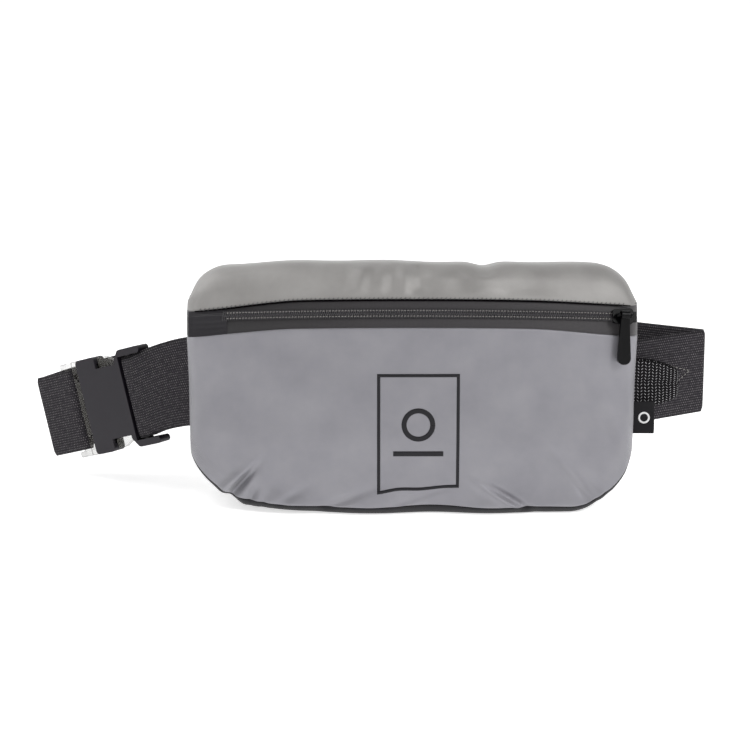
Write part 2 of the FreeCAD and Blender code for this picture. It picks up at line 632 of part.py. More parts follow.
def make_male():
    """Male half: webbing frame and guide tongue, with notches for the two latch arms."""
    half = MALE_THICK / 2
    inner = WEBBING / 2 + SLOT_CLEAR
    rail_half = MALE_THICK / 2 - 1
    frame = block(-BUCKLE_HALF, BUCKLE_HALF, MALE_GAP, MALE_BASE, -half, half, 1.5)
    rails = block(-BUCKLE_HALF, -inner, MALE_BASE - 1, MALE_END, -rail_half, rail_half, 1.2).fuse(
        block(inner, BUCKLE_HALF, MALE_BASE - 1, MALE_END, -rail_half, rail_half, 1.2))
    bar = round_bar(MALE_BAR, MALE_BAR_END, MALE_BAR_THICK / 2, 2 * inner + 2)
    tongue = block(-TONGUE_HALF, TONGUE_HALF, -TONGUE_REACH, MALE_GAP + 1,
                   -TONGUE_THICK / 2, TONGUE_THICK / 2, 1.5)
    frame = frame.fuse([rails, bar, tongue])
    for side in (-1, 1):
        root = ARM_WIDTH / 2 + ARM_NOTCH
        notch = Part.makeCylinder(root, MALE_THICK + 2, Vector(side * ARM_ROOT, ARM_ROOT_B, -half - 1))
        low, high = sorted((side * (ARM_ROOT - root - 1.2), side * (ARM_ROOT + root)))
        mouth = block(low, high, -5, ARM_ROOT_B, -half - 1, half + 1)
        frame = frame.cut(notch.fuse(mouth))
    frame.transformShape(BUCKLE_FRAME, False)
    save("buckle_male", frame)


def make_arms():
    """The two latch arms, each bending at its root."""
    for name, side in (("upper", 1), ("lower", -1)):
        stem = local_prism(arm_outline(side), -ARM_THICK / 2, ARM_THICK / 2)
        root = Part.makeCylinder(ARM_WIDTH / 2, ARM_THICK, Vector(side * ARM_ROOT, ARM_ROOT_B, -ARM_THICK / 2))
        arm = stem.fuse(root)
        arm.transformShape(BUCKLE_FRAME, False)
        save("latch_arm_" + name, arm)
        root_point = BUCKLE_FRAME.multVec(Vector(side * ARM_ROOT, ARM_ROOT_B, 0))
        print("arm", name, "joint at", root_point, "axis", BUCKLE_N)
    print("release axis", BUCKLE_U)


def make_belt_end():
    """Belt's buckle end: round the male bar with a short tail, out to the fold, and back behind."""
    clear = WRAP_GAP
    middle = (MALE_BAR + MALE_BAR_END) / 2
    loop = wrap(MALE_BAR, MALE_BAR_END, MALE_BAR_THICK / 2, BELT_THICK, clear, WEBBING, False)
    reach = MALE_BAR_THICK / 2 + clear + BELT_THICK
    fold_start = FOLD_REACH - FOLD_RADIUS
    front = block(-WEBBING / 2, WEBBING / 2, middle, fold_start, reach - BELT_THICK, reach)
    tail = block(-WEBBING / 2, WEBBING / 2, middle, TAIL_REACH, -reach, BELT_THICK - reach)
    loop = loop.fuse([front, tail])
    loop.transformShape(BUCKLE_FRAME, False)
    start = back_turn_end()
    end = rear_layer_start()
    run = (start - end).normalize()
    turn = math.degrees(BUCKLE_U.getAngle(run))
    pivot = fold_pivot()
    stations = []
    for i in range(7):
        swing = Rotation(BUCKLE_W, -turn * i / 6)
        side = swing.multVec(BUCKLE_N)
        stations.append((pivot + side * FOLD_RADIUS, side, BUCKLE_W))
    share = (BELT_JOINT_X - start.x) / (end.x - start.x)
    for i in range(1, 4):
        centre, up = belt_back_line(1 - (1 - share) * i / 3)
        side = run.cross(up).normalize() * -1.0
        stations.append((centre, side, up))
    save("belt_buckle_end", loop.fuse(band(stations, lambda i: WEBBING, BELT_THICK)))


# ---------------------------------------------------------------- side loop and label
def make_side_trim():
    """Doubled tape loop and folded label, both sewn in the right seam."""
    upright = Vector(0, 0, 1)
    z = LOOP_FOOT + LOOP_TALL / 2
    front = Vector(HALF_WIDTH, LOOP_FRONT_Y, z)
    pivot = Vector(HALF_WIDTH + LOOP_REACH - LOOP_GAP / 2, LOOP_FRONT_Y + LOOP_GAP / 2, z)
    stations = [(front, Vector(0, 1, 0), upright)]
    for i in range(7):
        side = level_side(180 * i / 6)
        stations.append((pivot - side * (LOOP_GAP / 2), side, upright))
    stations.append((front + Vector(0, LOOP_GAP, 0), Vector(0, -1, 0), upright))
    save("side_pull_loop", band(stations, lambda i: LOOP_TALL, LOOP_THICK))
    save("woven_label", Part.makeBox(LABEL_REACH, LABEL_THICK, LABEL_TALL,
                                     Vector(HALF_WIDTH, LABEL_Y, LABEL_FOOT)))


os.makedirs("parts", exist_ok=True)
filled = make_panels()
make_print(filled)
make_zip(filled)
make_slider()
make_pull()
make_strap()
make_belt()
make_female()
make_male()
make_arms()
make_belt_end()
make_side_trim()
print("zip joint at", AXIS_POINT, "axis", CURVE_AXIS,
      "range 0 to", turn_at(SLIDER_OPEN) - turn_at(SLIDER_REST))
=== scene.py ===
"""Belt bag with a curved front zip, an elastic belt and a side-release buckle: meshes and finishes."""
import json
import logging
import math
from dataclasses import dataclass, field

import bmesh
import bpy
import numpy as np
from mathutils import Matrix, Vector


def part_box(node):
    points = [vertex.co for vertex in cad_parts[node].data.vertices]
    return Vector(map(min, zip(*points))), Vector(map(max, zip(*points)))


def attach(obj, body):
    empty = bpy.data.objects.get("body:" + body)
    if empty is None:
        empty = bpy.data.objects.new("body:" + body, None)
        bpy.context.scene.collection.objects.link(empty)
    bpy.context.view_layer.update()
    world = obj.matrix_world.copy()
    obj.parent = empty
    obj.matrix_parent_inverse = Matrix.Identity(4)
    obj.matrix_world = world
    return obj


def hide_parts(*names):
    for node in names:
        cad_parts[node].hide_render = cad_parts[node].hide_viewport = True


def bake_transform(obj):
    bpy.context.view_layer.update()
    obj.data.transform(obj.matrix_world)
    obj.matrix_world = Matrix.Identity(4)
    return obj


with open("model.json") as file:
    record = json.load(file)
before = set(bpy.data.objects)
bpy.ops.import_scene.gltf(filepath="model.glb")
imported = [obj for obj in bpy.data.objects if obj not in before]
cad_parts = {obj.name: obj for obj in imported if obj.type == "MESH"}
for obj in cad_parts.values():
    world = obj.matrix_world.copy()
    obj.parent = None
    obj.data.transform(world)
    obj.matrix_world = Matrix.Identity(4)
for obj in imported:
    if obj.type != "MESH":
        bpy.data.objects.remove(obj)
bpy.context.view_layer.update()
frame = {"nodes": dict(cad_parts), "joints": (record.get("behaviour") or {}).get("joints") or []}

LOG = logging.getLogger("belt_bag")
MM = 0.001
Array = np.ndarray


# ---------------------------------------------------------------- small tools
def vec(*values: float) -> Array:
    """A numpy vector."""
    return np.array(values, float)


def unit(v: Array) -> Array:
    """Vectors scaled to length one along their last axis."""
    return v / np.linalg.norm(v, axis=-1, keepdims=True)


def rows_of(v: Array, count: int) -> Array:
    """A vector repeated as so many rows."""
    return np.repeat(v[None], count, 0)


def bands(period: float) -> float:
    """A wave texture's scale for a period in metres: the texture runs through pi / 10 units a wave."""
    return math.pi / 10 / period


def smooth(t: Array) -> Array:
    """Ease from 0 to 1: three t squared less two t cubed."""
    t = np.clip(t, 0, 1)
    return t * t * (3 - 2 * t)


def linear(hex_colour: str) -> tuple[float, float, float, float]:
    """An sRGB hex colour as linear RGBA."""
    parts = [int(hex_colour[i:i + 2], 16) / 255 for i in (1, 3, 5)]
    out = [p / 12.92 if p <= 0.04045 else ((p + 0.055) / 1.055) ** 2.4 for p in parts]
    return (out[0], out[1], out[2], 1.0)


def mesh_object(name: str, points: Array, faces: Array, uv: Array | None = None) -> bpy.types.Object:
    """A smooth-shaded object from points (n, 3), quads (m, 4) and optional per-point UVs (n, 2) in metres."""
    mesh = bpy.data.meshes.new(name)
    mesh.vertices.add(len(points))
    mesh.vertices.foreach_set("co", points.astype(np.float32).ravel())
    mesh.loops.add(faces.size)
    mesh.loops.foreach_set("vertex_index", faces.astype(np.int32).ravel())
    mesh.polygons.add(len(faces))
    mesh.polygons.foreach_set("loop_start", np.arange(0, faces.size, faces.shape[1], dtype=np.int32))
    mesh.polygons.foreach_set("use_smooth", np.ones(len(faces), bool))
    mesh.update(calc_edges=True)
    if uv is not None:
        layer = mesh.uv_layers.new(name="UVMap")
        layer.data.foreach_set("uv", uv[faces.ravel()].astype(np.float32).ravel())
    mesh.validate()
    obj = bpy.data.objects.new(name, mesh)
    bpy.context.scene.collection.objects.link(obj)
    return obj


def grid_faces(rows: int, cols: int, wrap_rows: bool = False, flip: bool = False) -> Array:
    """Quads of a rows by cols grid; wrap_rows joins the last row to the first."""
    index = np.arange(rows * cols).reshape(rows, cols)
    if wrap_rows:
        index = np.vstack([index, index[:1]])
    quads = np.stack([index[:-1, :-1], index[:-1, 1:], index[1:, 1:], index[1:, :-1]], -1).reshape(-1, 4)
    return quads[:, ::-1] if flip else quads


def tube_faces(rings: int, around: int) -> Array:
    """Quads of a tube made of rings of points, open at both ends."""
    index = np.arange(rings * around).reshape(rings, around)
    nxt = np.roll(index, -1, axis=1)
    return np.stack([index[:-1], nxt[:-1], nxt[1:], index[1:]], -1).reshape(-1, 4)


def grid_object(name: str, grid: Array, flip: bool = False, wrap_rows: bool = False) -> bpy.types.Object:
    """An object from a grid of points (rows, cols, 3), its UVs being distances along rows and columns.

    Args:
        name: the piece's name.
        grid: the points.
        flip: turns the faces round.
        wrap_rows: joins the last row to the first.

    Returns:
        The new object.
    """
    rows, cols = grid.shape[:2]
    along = np.zeros((rows, cols))
    along[:, 1:] = np.cumsum(np.linalg.norm(np.diff(grid, axis=1), axis=-1), axis=1)
    across = np.zeros((rows, cols))
    across[1:] = np.cumsum(np.linalg.norm(np.diff(grid, axis=0), axis=-1), axis=0)
    uv = np.stack([along - along[:, cols // 2:cols // 2 + 1], across], -1).reshape(-1, 2)
    faces = grid_faces(rows, cols, wrap_rows, flip)
    return mesh_object(name, grid.reshape(-1, 3), faces, uv)


def finish_mesh(obj: bpy.types.Object, thickness: float = 0.0, bevel: float = 0.0, levels: int = 0,
                offset: float = -1.0) -> bpy.types.Object:
    """Adds the modifiers that finish a piece: a wall, softened edges, subdivision."""
    if thickness:
        wall = obj.modifiers.new("wall", "SOLIDIFY")
        wall.thickness = thickness
        wall.offset = offset
    if bevel:
        edge = obj.modifiers.new("edge", "BEVEL")
        edge.width = bevel
        edge.segments = 3
        edge.limit_method = "ANGLE"
        edge.angle_limit = math.radians(35)
        edge.harden_normals = False
    if levels:
        rounding = obj.modifiers.new("rounding", "SUBSURF")
        rounding.levels = levels
        rounding.render_levels = levels
    return obj


def settle(obj: bpy.types.Object) -> bpy.types.Object:
    """Applies every modifier of a piece."""
    depsgraph = bpy.context.evaluated_depsgraph_get()
    mesh = bpy.data.meshes.new_from_object(obj.evaluated_get(depsgraph))
    obj.modifiers.clear()
    obj.data = mesh
    return obj


def threads(paths: Array, radius: float, lift: Array) -> tuple[Array, Array]:
    """Round threads along many short lines, thinner at both ends and closed there.

    Around each station a ring of six points: the line's point plus the radius times the cosine along the
    side direction and the sine along the outward one.

    Args:
        paths: (threads, stations, 3) points of the lines.
        radius: the thread's radius.
        lift: the direction away from the cloth.

    Returns:
        (n, 3) points and quads.
    """
    count, stations = paths.shape[:2]
    along = unit(np.gradient(paths, axis=1))
    side = unit(np.cross(along, lift))
    out = np.cross(side, along)
    turn = np.arange(6) * math.pi / 3
    thin = radius * (1 - 0.45 * np.abs(np.linspace(-1, 1, stations)) ** 6)[None, :, None, None]
    ring = side[:, :, None] * np.cos(turn)[:, None] + out[:, :, None] * np.sin(turn)[:, None]
    points = paths[:, :, None] + ring * thin
    index = np.arange(stations * 6).reshape(stations, 6)
    nxt = np.roll(index, -1, axis=1)
    quads = np.stack([index[:-1], index[1:], nxt[1:], nxt[:-1]], -1).reshape(-1, 4)
    start, stop = index[0], index[-1]
    caps = np.array([start[[0, 1, 2, 3]], start[[0, 3, 4, 5]], stop[[3, 2, 1, 0]], stop[[5, 4, 3, 0]]])
    shape = np.vstack([quads, caps])
    faces = (shape[None] + (np.arange(count) * stations * 6)[:, None, None]).reshape(-1, 4)
    return points.reshape(-1, 3), faces


# ---------------------------------------------------------------- finishes
class Nodes:
    """A material's node tree, filled by one function."""

    def __init__(self, name: str) -> None:
        """Starts a material with a Principled shader."""
        self.material = bpy.data.materials.new(name)
        self.material.use_nodes = True
        self.tree = self.material.node_tree
        self.shader = self.tree.nodes["Principled BSDF"]

    def add(self, kind: str, settings: dict | None = None, **links: object) -> bpy.types.Node:
        """Adds a node.

        Args:
            kind: the node's type name, without the ShaderNode in front.
            settings: attributes of the node.
            links: socket name (underscores for blanks, i0.. for an index) to a value or another socket.

        Returns:
            The new node.
        """
        node = self.tree.nodes.new("ShaderNode" + kind)
        for key, value in (settings or {}).items():
            setattr(node, key, value)
        for key, value in links.items():
            socket = node.inputs[int(key[1:])] if key[0] == "i" and key[1:].isdigit() else node.inputs[
                key.replace("_", " ")]
            if isinstance(value, bpy.types.NodeSocket):
                self.tree.links.new(value, socket)
            else:
                socket.default_value = value
        return node

    def ramp(self, source: bpy.types.NodeSocket, stops: list[tuple[float, str]]) -> bpy.types.NodeSocket:
        """A colour ramp from (place, hex) stops."""
        node = self.add("ValToRGB", None, Fac=source)
        elements = node.color_ramp.elements
        while len(elements) < len(stops):
            elements.new(0.5)
        for element, (place, colour) in zip(elements, stops):
            element.position = place
            element.color = linear(colour)
        return node.outputs["Color"]

    def finish(self, height: bpy.types.NodeSocket | None = None, depth: float = 0.0, **inputs: object
               ) -> bpy.types.Material:
        """Sets the shader's sockets and, if given, a bump from a height in metres."""
        if height is not None:
            bump = self.add("Bump", None, Height=height, Distance=depth, Strength=1.0)
            self.tree.links.new(bump.outputs["Normal"], self.shader.inputs["Normal"])
        for key, value in inputs.items():
            socket = self.shader.inputs[key.replace("_", " ")]
            if isinstance(value, bpy.types.NodeSocket):
                self.tree.links.new(value, socket)
            else:
                socket.default_value = value
        return self.material


@dataclass(frozen=True)
class CoatedPolyester:
    """Woven polyester with a thin grey reflective coating: a flat, slightly metallic grey with soft sheen."""
    name: str = "coated_polyester_grey"
    shade: str = "#8A898E"
    deep: str = "#7F7E84"
    thread: float = 0.5 * MM
    roughness: float = 0.4
    metal: float = 0.45

    def make(self) -> bpy.types.Material:
        """Weave bump, a faint mottle of the coating, and small changes of sheen."""
        n = Nodes(self.name)
        where = n.add("TexCoord").outputs["UV"]
        mottle = n.add("TexNoise", None, Vector=where, Scale=38.0, Detail=4.0, Roughness=0.55)
        colour = n.ramp(mottle.outputs["Fac"], [(0.3, self.deep), (0.7, self.shade)])
        weave = n.add("TexWave", {"wave_type": "BANDS", "bands_direction": "X"}, Vector=where,
                      Scale=bands(self.thread), Distortion=0.2)
        weft = n.add("TexWave", {"wave_type": "BANDS", "bands_direction": "Y"}, Vector=where,
                     Scale=bands(self.thread), Distortion=0.2)
        crossed = n.add("Math", {"operation": "ADD"}, i0=weave.outputs["Fac"], i1=weft.outputs["Fac"])
        slack = n.add("TexNoise", None, Vector=where, Scale=90.0, Detail=3.0)
        height = n.add("Math", {"operation": "MULTIPLY_ADD"}, i0=slack.outputs["Fac"], i1=6.0,
                       i2=crossed.outputs[0])
        rough = n.add("MapRange", None, Value=mottle.outputs["Fac"], i3=self.roughness - 0.05,
                      i4=self.roughness + 0.07)
        return n.finish(height.outputs[0], 0.00003, Base_Color=colour, Roughness=rough.outputs[0],
                        Metallic=self.metal, Sheen_Weight=0.15, Sheen_Roughness=0.5)


@dataclass(frozen=True)
class PlainWeave:
    """Spun polyester cloth in plain weave: crossed threads, no gloss, a soft bloom at grazing angles."""
    name: str
    shade: str
    light: str
    thread: float = 0.6 * MM
    depth: float = 0.00008
    roughness: float = 0.85
    shine: float = 0.5
    bloom: float = 0.3
    # A painted shade towards the tape's left end: how much the tone falls, and the two places it falls
    # between.
    painted_shade_end: float = 0.0
    painted_shade_at: float = -118 * MM
    unshaded_at: float = -20 * MM

    def make(self) -> bpy.types.Material:
        """Crossed bands of two threads, lighter where a thread comes to the top.

        With a painted shade at one end, the tone falls along the tape from its middle to its left end.
        """
        n = Nodes(self.name)
        where = n.add("TexCoord").outputs["UV"]
        scale = bands(self.thread)
        warp = n.add("TexWave", {"bands_direction": "X"}, Vector=where, Scale=scale, Distortion=0.4)
        weft = n.add("TexWave", {"bands_direction": "Y"}, Vector=where, Scale=scale, Distortion=0.4)
        cross = n.add("Math", {"operation": "MULTIPLY"}, i0=warp.outputs["Fac"], i1=weft.outputs["Fac"])
        fibre = n.add("TexNoise", None, Vector=where, Scale=900.0, Detail=3.0)
        mixed = n.add("Math", {"operation": "MULTIPLY"}, i0=cross.outputs[0], i1=fibre.outputs["Fac"])
        colour = n.ramp(mixed.outputs[0], [(0.05, self.shade), (0.6, self.light)])
        # Painted shade: the tone is darkened towards the tape's left end.
        if self.painted_shade_end:
            parts = n.add("SeparateXYZ", None, i0=where)
            keep = n.add("MapRange", None, Value=parts.outputs["X"], i1=self.painted_shade_at, i2=self.unshaded_at,
                         i3=1 - self.painted_shade_end, i4=1.0)
            colour = n.add("HueSaturation", None, Value=keep.outputs[0], Color=colour).outputs[0]
        return n.finish(cross.outputs[0], self.depth, Base_Color=colour, Roughness=self.roughness,
                        Specular_IOR_Level=self.shine, Sheen_Weight=self.bloom, Sheen_Roughness=0.6)


@dataclass(frozen=True)
class ElasticWebbing:
    """Woven elastic webbing: ribs along its length, broken into short picks that catch the light."""
    name: str = "woven_elastic_webbing"
    shade: str = "#1D1B1F"
    middle: str = "#312E33"
    light: str = "#6E6A6C"
    rib: float = 1.5 * MM
    pick: float = 1.35 * MM
    depth: float = 0.00025

    def make(self) -> bpy.types.Material:
        """Ribs as a sine across the width, and picks as a sine along it, half a pick on from rib to rib."""
        n = Nodes(self.name)
        where = n.add("TexCoord").outputs["UV"]
        parts = n.add("SeparateXYZ", None, i0=where)
        row = n.add("Math", {"operation": "DIVIDE"}, i0=parts.outputs["Y"], i1=self.rib)
        number = n.add("Math", {"operation": "FLOOR"}, i0=row.outputs[0])
        turn = n.add("Math", {"operation": "MULTIPLY"}, i0=row.outputs[0], i1=2 * math.pi)
        across = n.add("Math", {"operation": "COSINE"}, i0=turn.outputs[0])
        rib = n.add("MapRange", None, Value=across.outputs[0], i1=1.0, i2=-1.0)
        uneven = n.add("TexNoise", None, Vector=where, Scale=500.0, Detail=1.0)
        drift = n.add("Math", {"operation": "MULTIPLY_ADD"}, i0=uneven.outputs["Fac"], i1=2.2,
                      i2=parts.outputs["X"])
        along = n.add("Math", {"operation": "MULTIPLY"}, i0=parts.outputs["X"], i1=2 * math.pi / self.pick)
        half = n.add("Math", {"operation": "MULTIPLY_ADD"}, i0=number.outputs[0], i1=math.pi,
                     i2=along.outputs[0])
        loose = n.add("Math", {"operation": "ADD"}, i0=half.outputs[0], i1=drift.outputs[0])
        wave = n.add("Math", {"operation": "SINE"}, i0=loose.outputs[0])
        pick = n.add("MapRange", None, Value=wave.outputs[0], i1=0.0, i2=0.9)
        chance = n.add("TexNoise", None, Vector=where, Scale=420.0, Detail=2.0)
        lucky = n.add("MapRange", None, Value=chance.outputs["Fac"], i1=0.35, i2=0.65, i3=0.15, i4=1.0)
        both = n.add("Math", {"operation": "MULTIPLY"}, i0=pick.outputs[0], i1=rib.outputs[0])
        spark = n.add("Math", {"operation": "MULTIPLY"}, i0=both.outputs[0], i1=lucky.outputs[0])
        lit = n.add("Math", {"operation": "MULTIPLY_ADD"}, i0=rib.outputs[0], i1=0.25, i2=spark.outputs[0])
        colour = n.ramp(lit.outputs[0], [(0.02, self.shade), (0.3, self.middle), (0.9, self.light)])
        height = n.add("Math", {"operation": "MULTIPLY_ADD"}, i0=both.outputs[0], i1=0.6, i2=rib.outputs[0])
        return n.finish(height.outputs[0], self.depth, Base_Color=colour, Roughness=0.85,
                        Specular_IOR_Level=0.3)


@dataclass(frozen=True)
class HerringboneTape:
    """Woven nylon tape in herringbone: black with pale flecks in slanted rows that turn back and forth."""
    name: str = "herringbone_tape"
    shade: str = "#0D0C0E"
    light: str = "#BDBBBE"
    repeat: float = 4.2 * MM
    step: float = 1.9 * MM

    def make(self) -> bpy.types.Material:
        """Slanted dashes whose slant turns at each column, from a zigzag added to the pattern's place."""
        n = Nodes(self.name)
        where = n.add("TexCoord").outputs["UV"]
        parts = n.add("SeparateXYZ", None, i0=where)
        column = n.add("Math", {"operation": "PINGPONG"}, i0=parts.outputs["X"], i1=self.repeat / 2)
        slant = n.add("Math", {"operation": "ADD"}, i0=parts.outputs["Y"], i1=column.outputs[0])
        turn = n.add("Math", {"operation": "MULTIPLY"}, i0=slant.outputs[0], i1=2 * math.pi / self.step)
        wave = n.add("Math", {"operation": "SINE"}, i0=turn.outputs[0])
        edge = n.add("Math", {"operation": "MULTIPLY"}, i0=column.outputs[0], i1=2 * math.pi / self.repeat)
        stripe = n.add("Math", {"operation": "SINE"}, i0=edge.outputs[0])
        both = n.add("Math", {"operation": "MULTIPLY"}, i0=wave.outputs[0], i1=stripe.outputs[0])
        colour = n.ramp(both.outputs[0], [(0.68, self.shade), (0.9, self.light)])
        return n.finish(both.outputs[0], 0.00015, Base_Color=colour, Roughness=0.75,
                        Specular_IOR_Level=0.15)


@dataclass(frozen=True)
class MouldedPlastic:
    """Injection-moulded acetal or rubber: a fine spark-eroded grain under a satin surface."""
    name: str
    shade: str
    roughness: float = 0.42
    grain: float = 0.35 * MM
    depth: float = 0.00002
    shine: float = 0.5

    def make(self) -> bpy.types.Material:
        """Grain bump, faint handling marks in the roughness."""
        n = Nodes(self.name)
        where = n.add("TexCoord").outputs["Object"]
        grain = n.add("TexNoise", None, Vector=where, Scale=1 / self.grain, Detail=2.0)
        marks = n.add("TexNoise", None, Vector=where, Scale=120.0, Detail=5.0, Distortion=0.6)
        rough = n.add("MapRange", None, Value=marks.outputs["Fac"], i3=self.roughness - 0.06,
                      i4=self.roughness + 0.08)
        return n.finish(grain.outputs["Fac"], self.depth, Base_Color=linear(self.shade),
                        Roughness=rough.outputs[0], IOR=1.48, Specular_IOR_Level=self.shine)


@dataclass(frozen=True)
class ClearPlastic:
    """Clear moulded polycarbonate: see-through, with a slight grey body and polished faces."""
    name: str = "clear_moulded_polycarbonate"

    def make(self) -> bpy.types.Material:
        """Thin clear walls seen straight through, greyer towards their edges, with faint flow lines."""
        n = Nodes(self.name)
        where = n.add("TexCoord").outputs["Object"]
        flow = n.add("TexNoise", None, Vector=where, Scale=160.0, Detail=2.0, Distortion=1.0)
        rough = n.add("MapRange", None, Value=flow.outputs["Fac"], i3=0.08, i4=0.22)
        facing = n.add("LayerWeight", None, Blend=0.45)
        body = n.add("MapRange", None, Value=facing.outputs["Facing"], i1=0.1, i2=0.9, i3=0.14, i4=0.7)
        return n.finish(flow.outputs["Fac"], 0.00003, Base_Color=linear("#76746F"),
                        Roughness=rough.outputs[0], IOR=1.54, Alpha=body.outputs[0])


@dataclass(frozen=True)
class Enamel:
    """Black enamel baked on a zinc die casting: deep gloss."""
    name: str = "gloss_black_enamel"

    def make(self) -> bpy.types.Material:
        """Gloss black with an orange-peel ripple."""
        n = Nodes(self.name)
        where = n.add("TexCoord").outputs["Object"]
        ripple = n.add("TexNoise", None, Vector=where, Scale=900.0, Detail=1.0)
        rough = n.add("MapRange", None, Value=ripple.outputs["Fac"], i3=0.2, i4=0.32)
        return n.finish(ripple.outputs["Fac"], 0.000002, Base_Color=linear("#070708"),
                        Roughness=rough.outputs[0], Specular_IOR_Level=0.08)


@dataclass(frozen=True)
class StudioPaper:
    """Seamless white paper."""
    name: str = "studio_paper"

    def make(self) -> bpy.types.Material:
        """Plain matt white."""
        return Nodes(self.name).finish(Base_Color=linear("#FBFBFB"), Roughness=0.9,
                                       Emission_Color=linear("#FFFFFF"), Emission_Strength=0.6)


@dataclass
class Finishes:
    """Every finish of the bag, made once."""
    shell: bpy.types.Material = field(default_factory=lambda: CoatedPolyester().make())
    # The top panel's cloth is the shell cloth painted lighter, which is painted light from above, and made
    # less metallic.
    top: bpy.types.Material = field(default_factory=lambda: CoatedPolyester(
        "coated_polyester_top_painted_light", "#9A9896", "#8A8886", roughness=0.42, metal=0.25).make())
    back: bpy.types.Material = field(default_factory=lambda: PlainWeave(
        "plain_polyester_black", "#18171A", "#2A292D", shine=0.25, bloom=0.12).make())
    # The tape's tone falls towards its left end: painted shade.
    tape: bpy.types.Material = field(default_factory=lambda: PlainWeave(
        "zip_tape_weave", "#252225", "#393638", 0.7 * MM, 0.00006, 0.5, 0.35, 0.25, 0.6).make())
    # Near-black cloth for the cord just below the top panel's turned edge: a painted shadow of that edge.
    shade: bpy.types.Material = field(default_factory=lambda: PlainWeave(
        "painted_edge_shadow", "#060507", "#0D0C0E", 0.4 * MM, 0.00002, 0.9, 0.0, 0.0).make())
    tab: bpy.types.Material = field(default_factory=lambda: PlainWeave(
        "zip_tab_rib", "#151318", "#242127", 0.7 * MM, 0.00006, 0.6, 0.3, 0.1).make())
    webbing: bpy.types.Material = field(default_factory=lambda: ElasticWebbing().make())
    herringbone: bpy.types.Material = field(default_factory=lambda: HerringboneTape().make())
    label: bpy.types.Material = field(default_factory=lambda: PlainWeave(
        "satin_label", "#0F0E11", "#1D1C1F", 0.3 * MM, 0.00002, 0.6, 0.15, 0.05).make())
    thread: bpy.types.Material = field(default_factory=lambda: PlainWeave(
        "sewing_thread_black", "#2A292B", "#4A484C", 0.4 * MM, 0.00004, 0.6).make())
    pale_thread: bpy.types.Material = field(default_factory=lambda: PlainWeave(
        "zip_thread_grey", "#7B7774", "#B4AFA8", 0.4 * MM, 0.00004, 0.5).make())
    film: bpy.types.Material = field(default_factory=lambda: MouldedPlastic(
        "heat_pressed_film", "#141318", 0.5, 0.5 * MM, 0.000006, 0.3).make())
    white_thread: bpy.types.Material = field(default_factory=lambda: PlainWeave(
        "white_woven_thread", "#D8D8D8", "#F2F2F2", 0.3 * MM, 0.00003, 0.6).make())
    acetal: bpy.types.Material = field(default_factory=lambda: MouldedPlastic(
        "satin_black_acetal", "#19151D", 0.42, shine=0.38).make())
    nylon: bpy.types.Material = field(default_factory=lambda: MouldedPlastic(
        "coil_nylon", "#2E2C2F", 0.3, 0.3 * MM, 0.000004).make())
    rubber: bpy.types.Material = field(default_factory=lambda: MouldedPlastic(
        "moulded_black_rubber", "#050506", 0.3, 0.3 * MM, 0.000006, 0.14).make())
    clear: bpy.types.Material = field(default_factory=lambda: ClearPlastic().make())
    enamel: bpy.types.Material = field(default_factory=lambda: Enamel().make())
    paper: bpy.types.Material = field(default_factory=lambda: StudioPaper().make())


def paint(obj: bpy.types.Object, material: bpy.types.Material) -> None:
    """Gives a piece one material, in place of any it has."""
    obj.data.materials.clear()
    obj.data.materials.append(material)


def dress(obj: bpy.types.Object, material: bpy.types.Material, body: str) -> bpy.types.Object:
    """Gives a piece its material and the body it rides on."""
    paint(obj, material)
    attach(obj, body)
    LOG.info("%s rides on %s", obj.name, body)
    return obj


# ---------------------------------------------------------------- camera, light and floor
@dataclass
class Studio:
    """White sweep, soft lights and the camera."""
    target: tuple[float, float, float] = (-0.021, 0.0, 0.0760)
    distance: float = 0.930
    elevation: float = 10.0
    focal_px: float = 1620.0
    frame_px: float = 750.0
    sensor: float = 36.0
    sky: float = 0.4

    def build(self, finishes: Finishes) -> None:
        """Makes the camera, the floor and the lights."""
        scene = bpy.context.scene
        scene.view_settings.view_transform = "Standard"
        rise = math.radians(self.elevation)
        away = vec(0, -math.cos(rise), math.sin(rise))
        data = bpy.data.cameras.new("camera")
        data.sensor_width = self.sensor
        data.lens = self.focal_px * self.sensor / self.frame_px
        camera = bpy.data.objects.new("camera", data)
        scene.collection.objects.link(camera)
        camera.location = Vector(self.target) + Vector(away * self.distance)
        camera.rotation_euler = Vector(-away).to_track_quat("-Z", "Y").to_euler()
        scene.camera = camera
        self.floor(finishes)
        self.lamp("key", (1.0, -1.0, 1.0), 0.5, 12.0)
        self.lamp("fill", (-0.9, -1.3, 0.5), 1.2, 1.8)
        self.lamp("top", (-0.8, 0.1, 1.3), 0.9, 6.0)
        self.lamp("back", (-1.1, 0.5, 0.8), 0.4, 2.5)
        world = bpy.data.worlds.new("white")
        world.use_nodes = True
        tree = world.node_tree
        sky = tree.nodes["Background"]
        sky.inputs["Color"].default_value = (1, 1, 1, 1)
        seen = tree.nodes.new("ShaderNodeLightPath")
        strength = tree.nodes.new("ShaderNodeMapRange")
        strength.inputs["To Min"].default_value = self.sky
        tree.links.new(seen.outputs["Is Camera Ray"], strength.inputs["Value"])
        tree.links.new(strength.outputs["Result"], sky.inputs["Strength"])
        scene.world = world

    def floor(self, finishes: Finishes) -> None:
        """A sheet of paper under the bag, standing up far behind it."""
        reach = 6.0
        points = np.array([[-reach, -reach, 0], [reach, -reach, 0], [reach, reach, 0], [-reach, reach, 0],
                           [reach, reach, reach], [-reach, reach, reach]])
        sheet = mesh_object("studio_floor", points, np.array([[0, 1, 2, 3], [3, 2, 4, 5]]))
        paint(sheet, finishes.paper)

    def lamp(self, name: str, place: tuple[float, float, float], size: float, power: float) -> None:
        """A square softbox that looks at the bag."""
        data = bpy.data.lights.new(name, "AREA")
        data.size = size
        data.energy = power
        lamp = bpy.data.objects.new(name, data)
        bpy.context.scene.collection.objects.link(lamp)
        lamp.location = place
        lamp.rotation_euler = (Vector((0, 0, 0.05)) - Vector(place)).to_track_quat("-Z", "Y").to_euler()


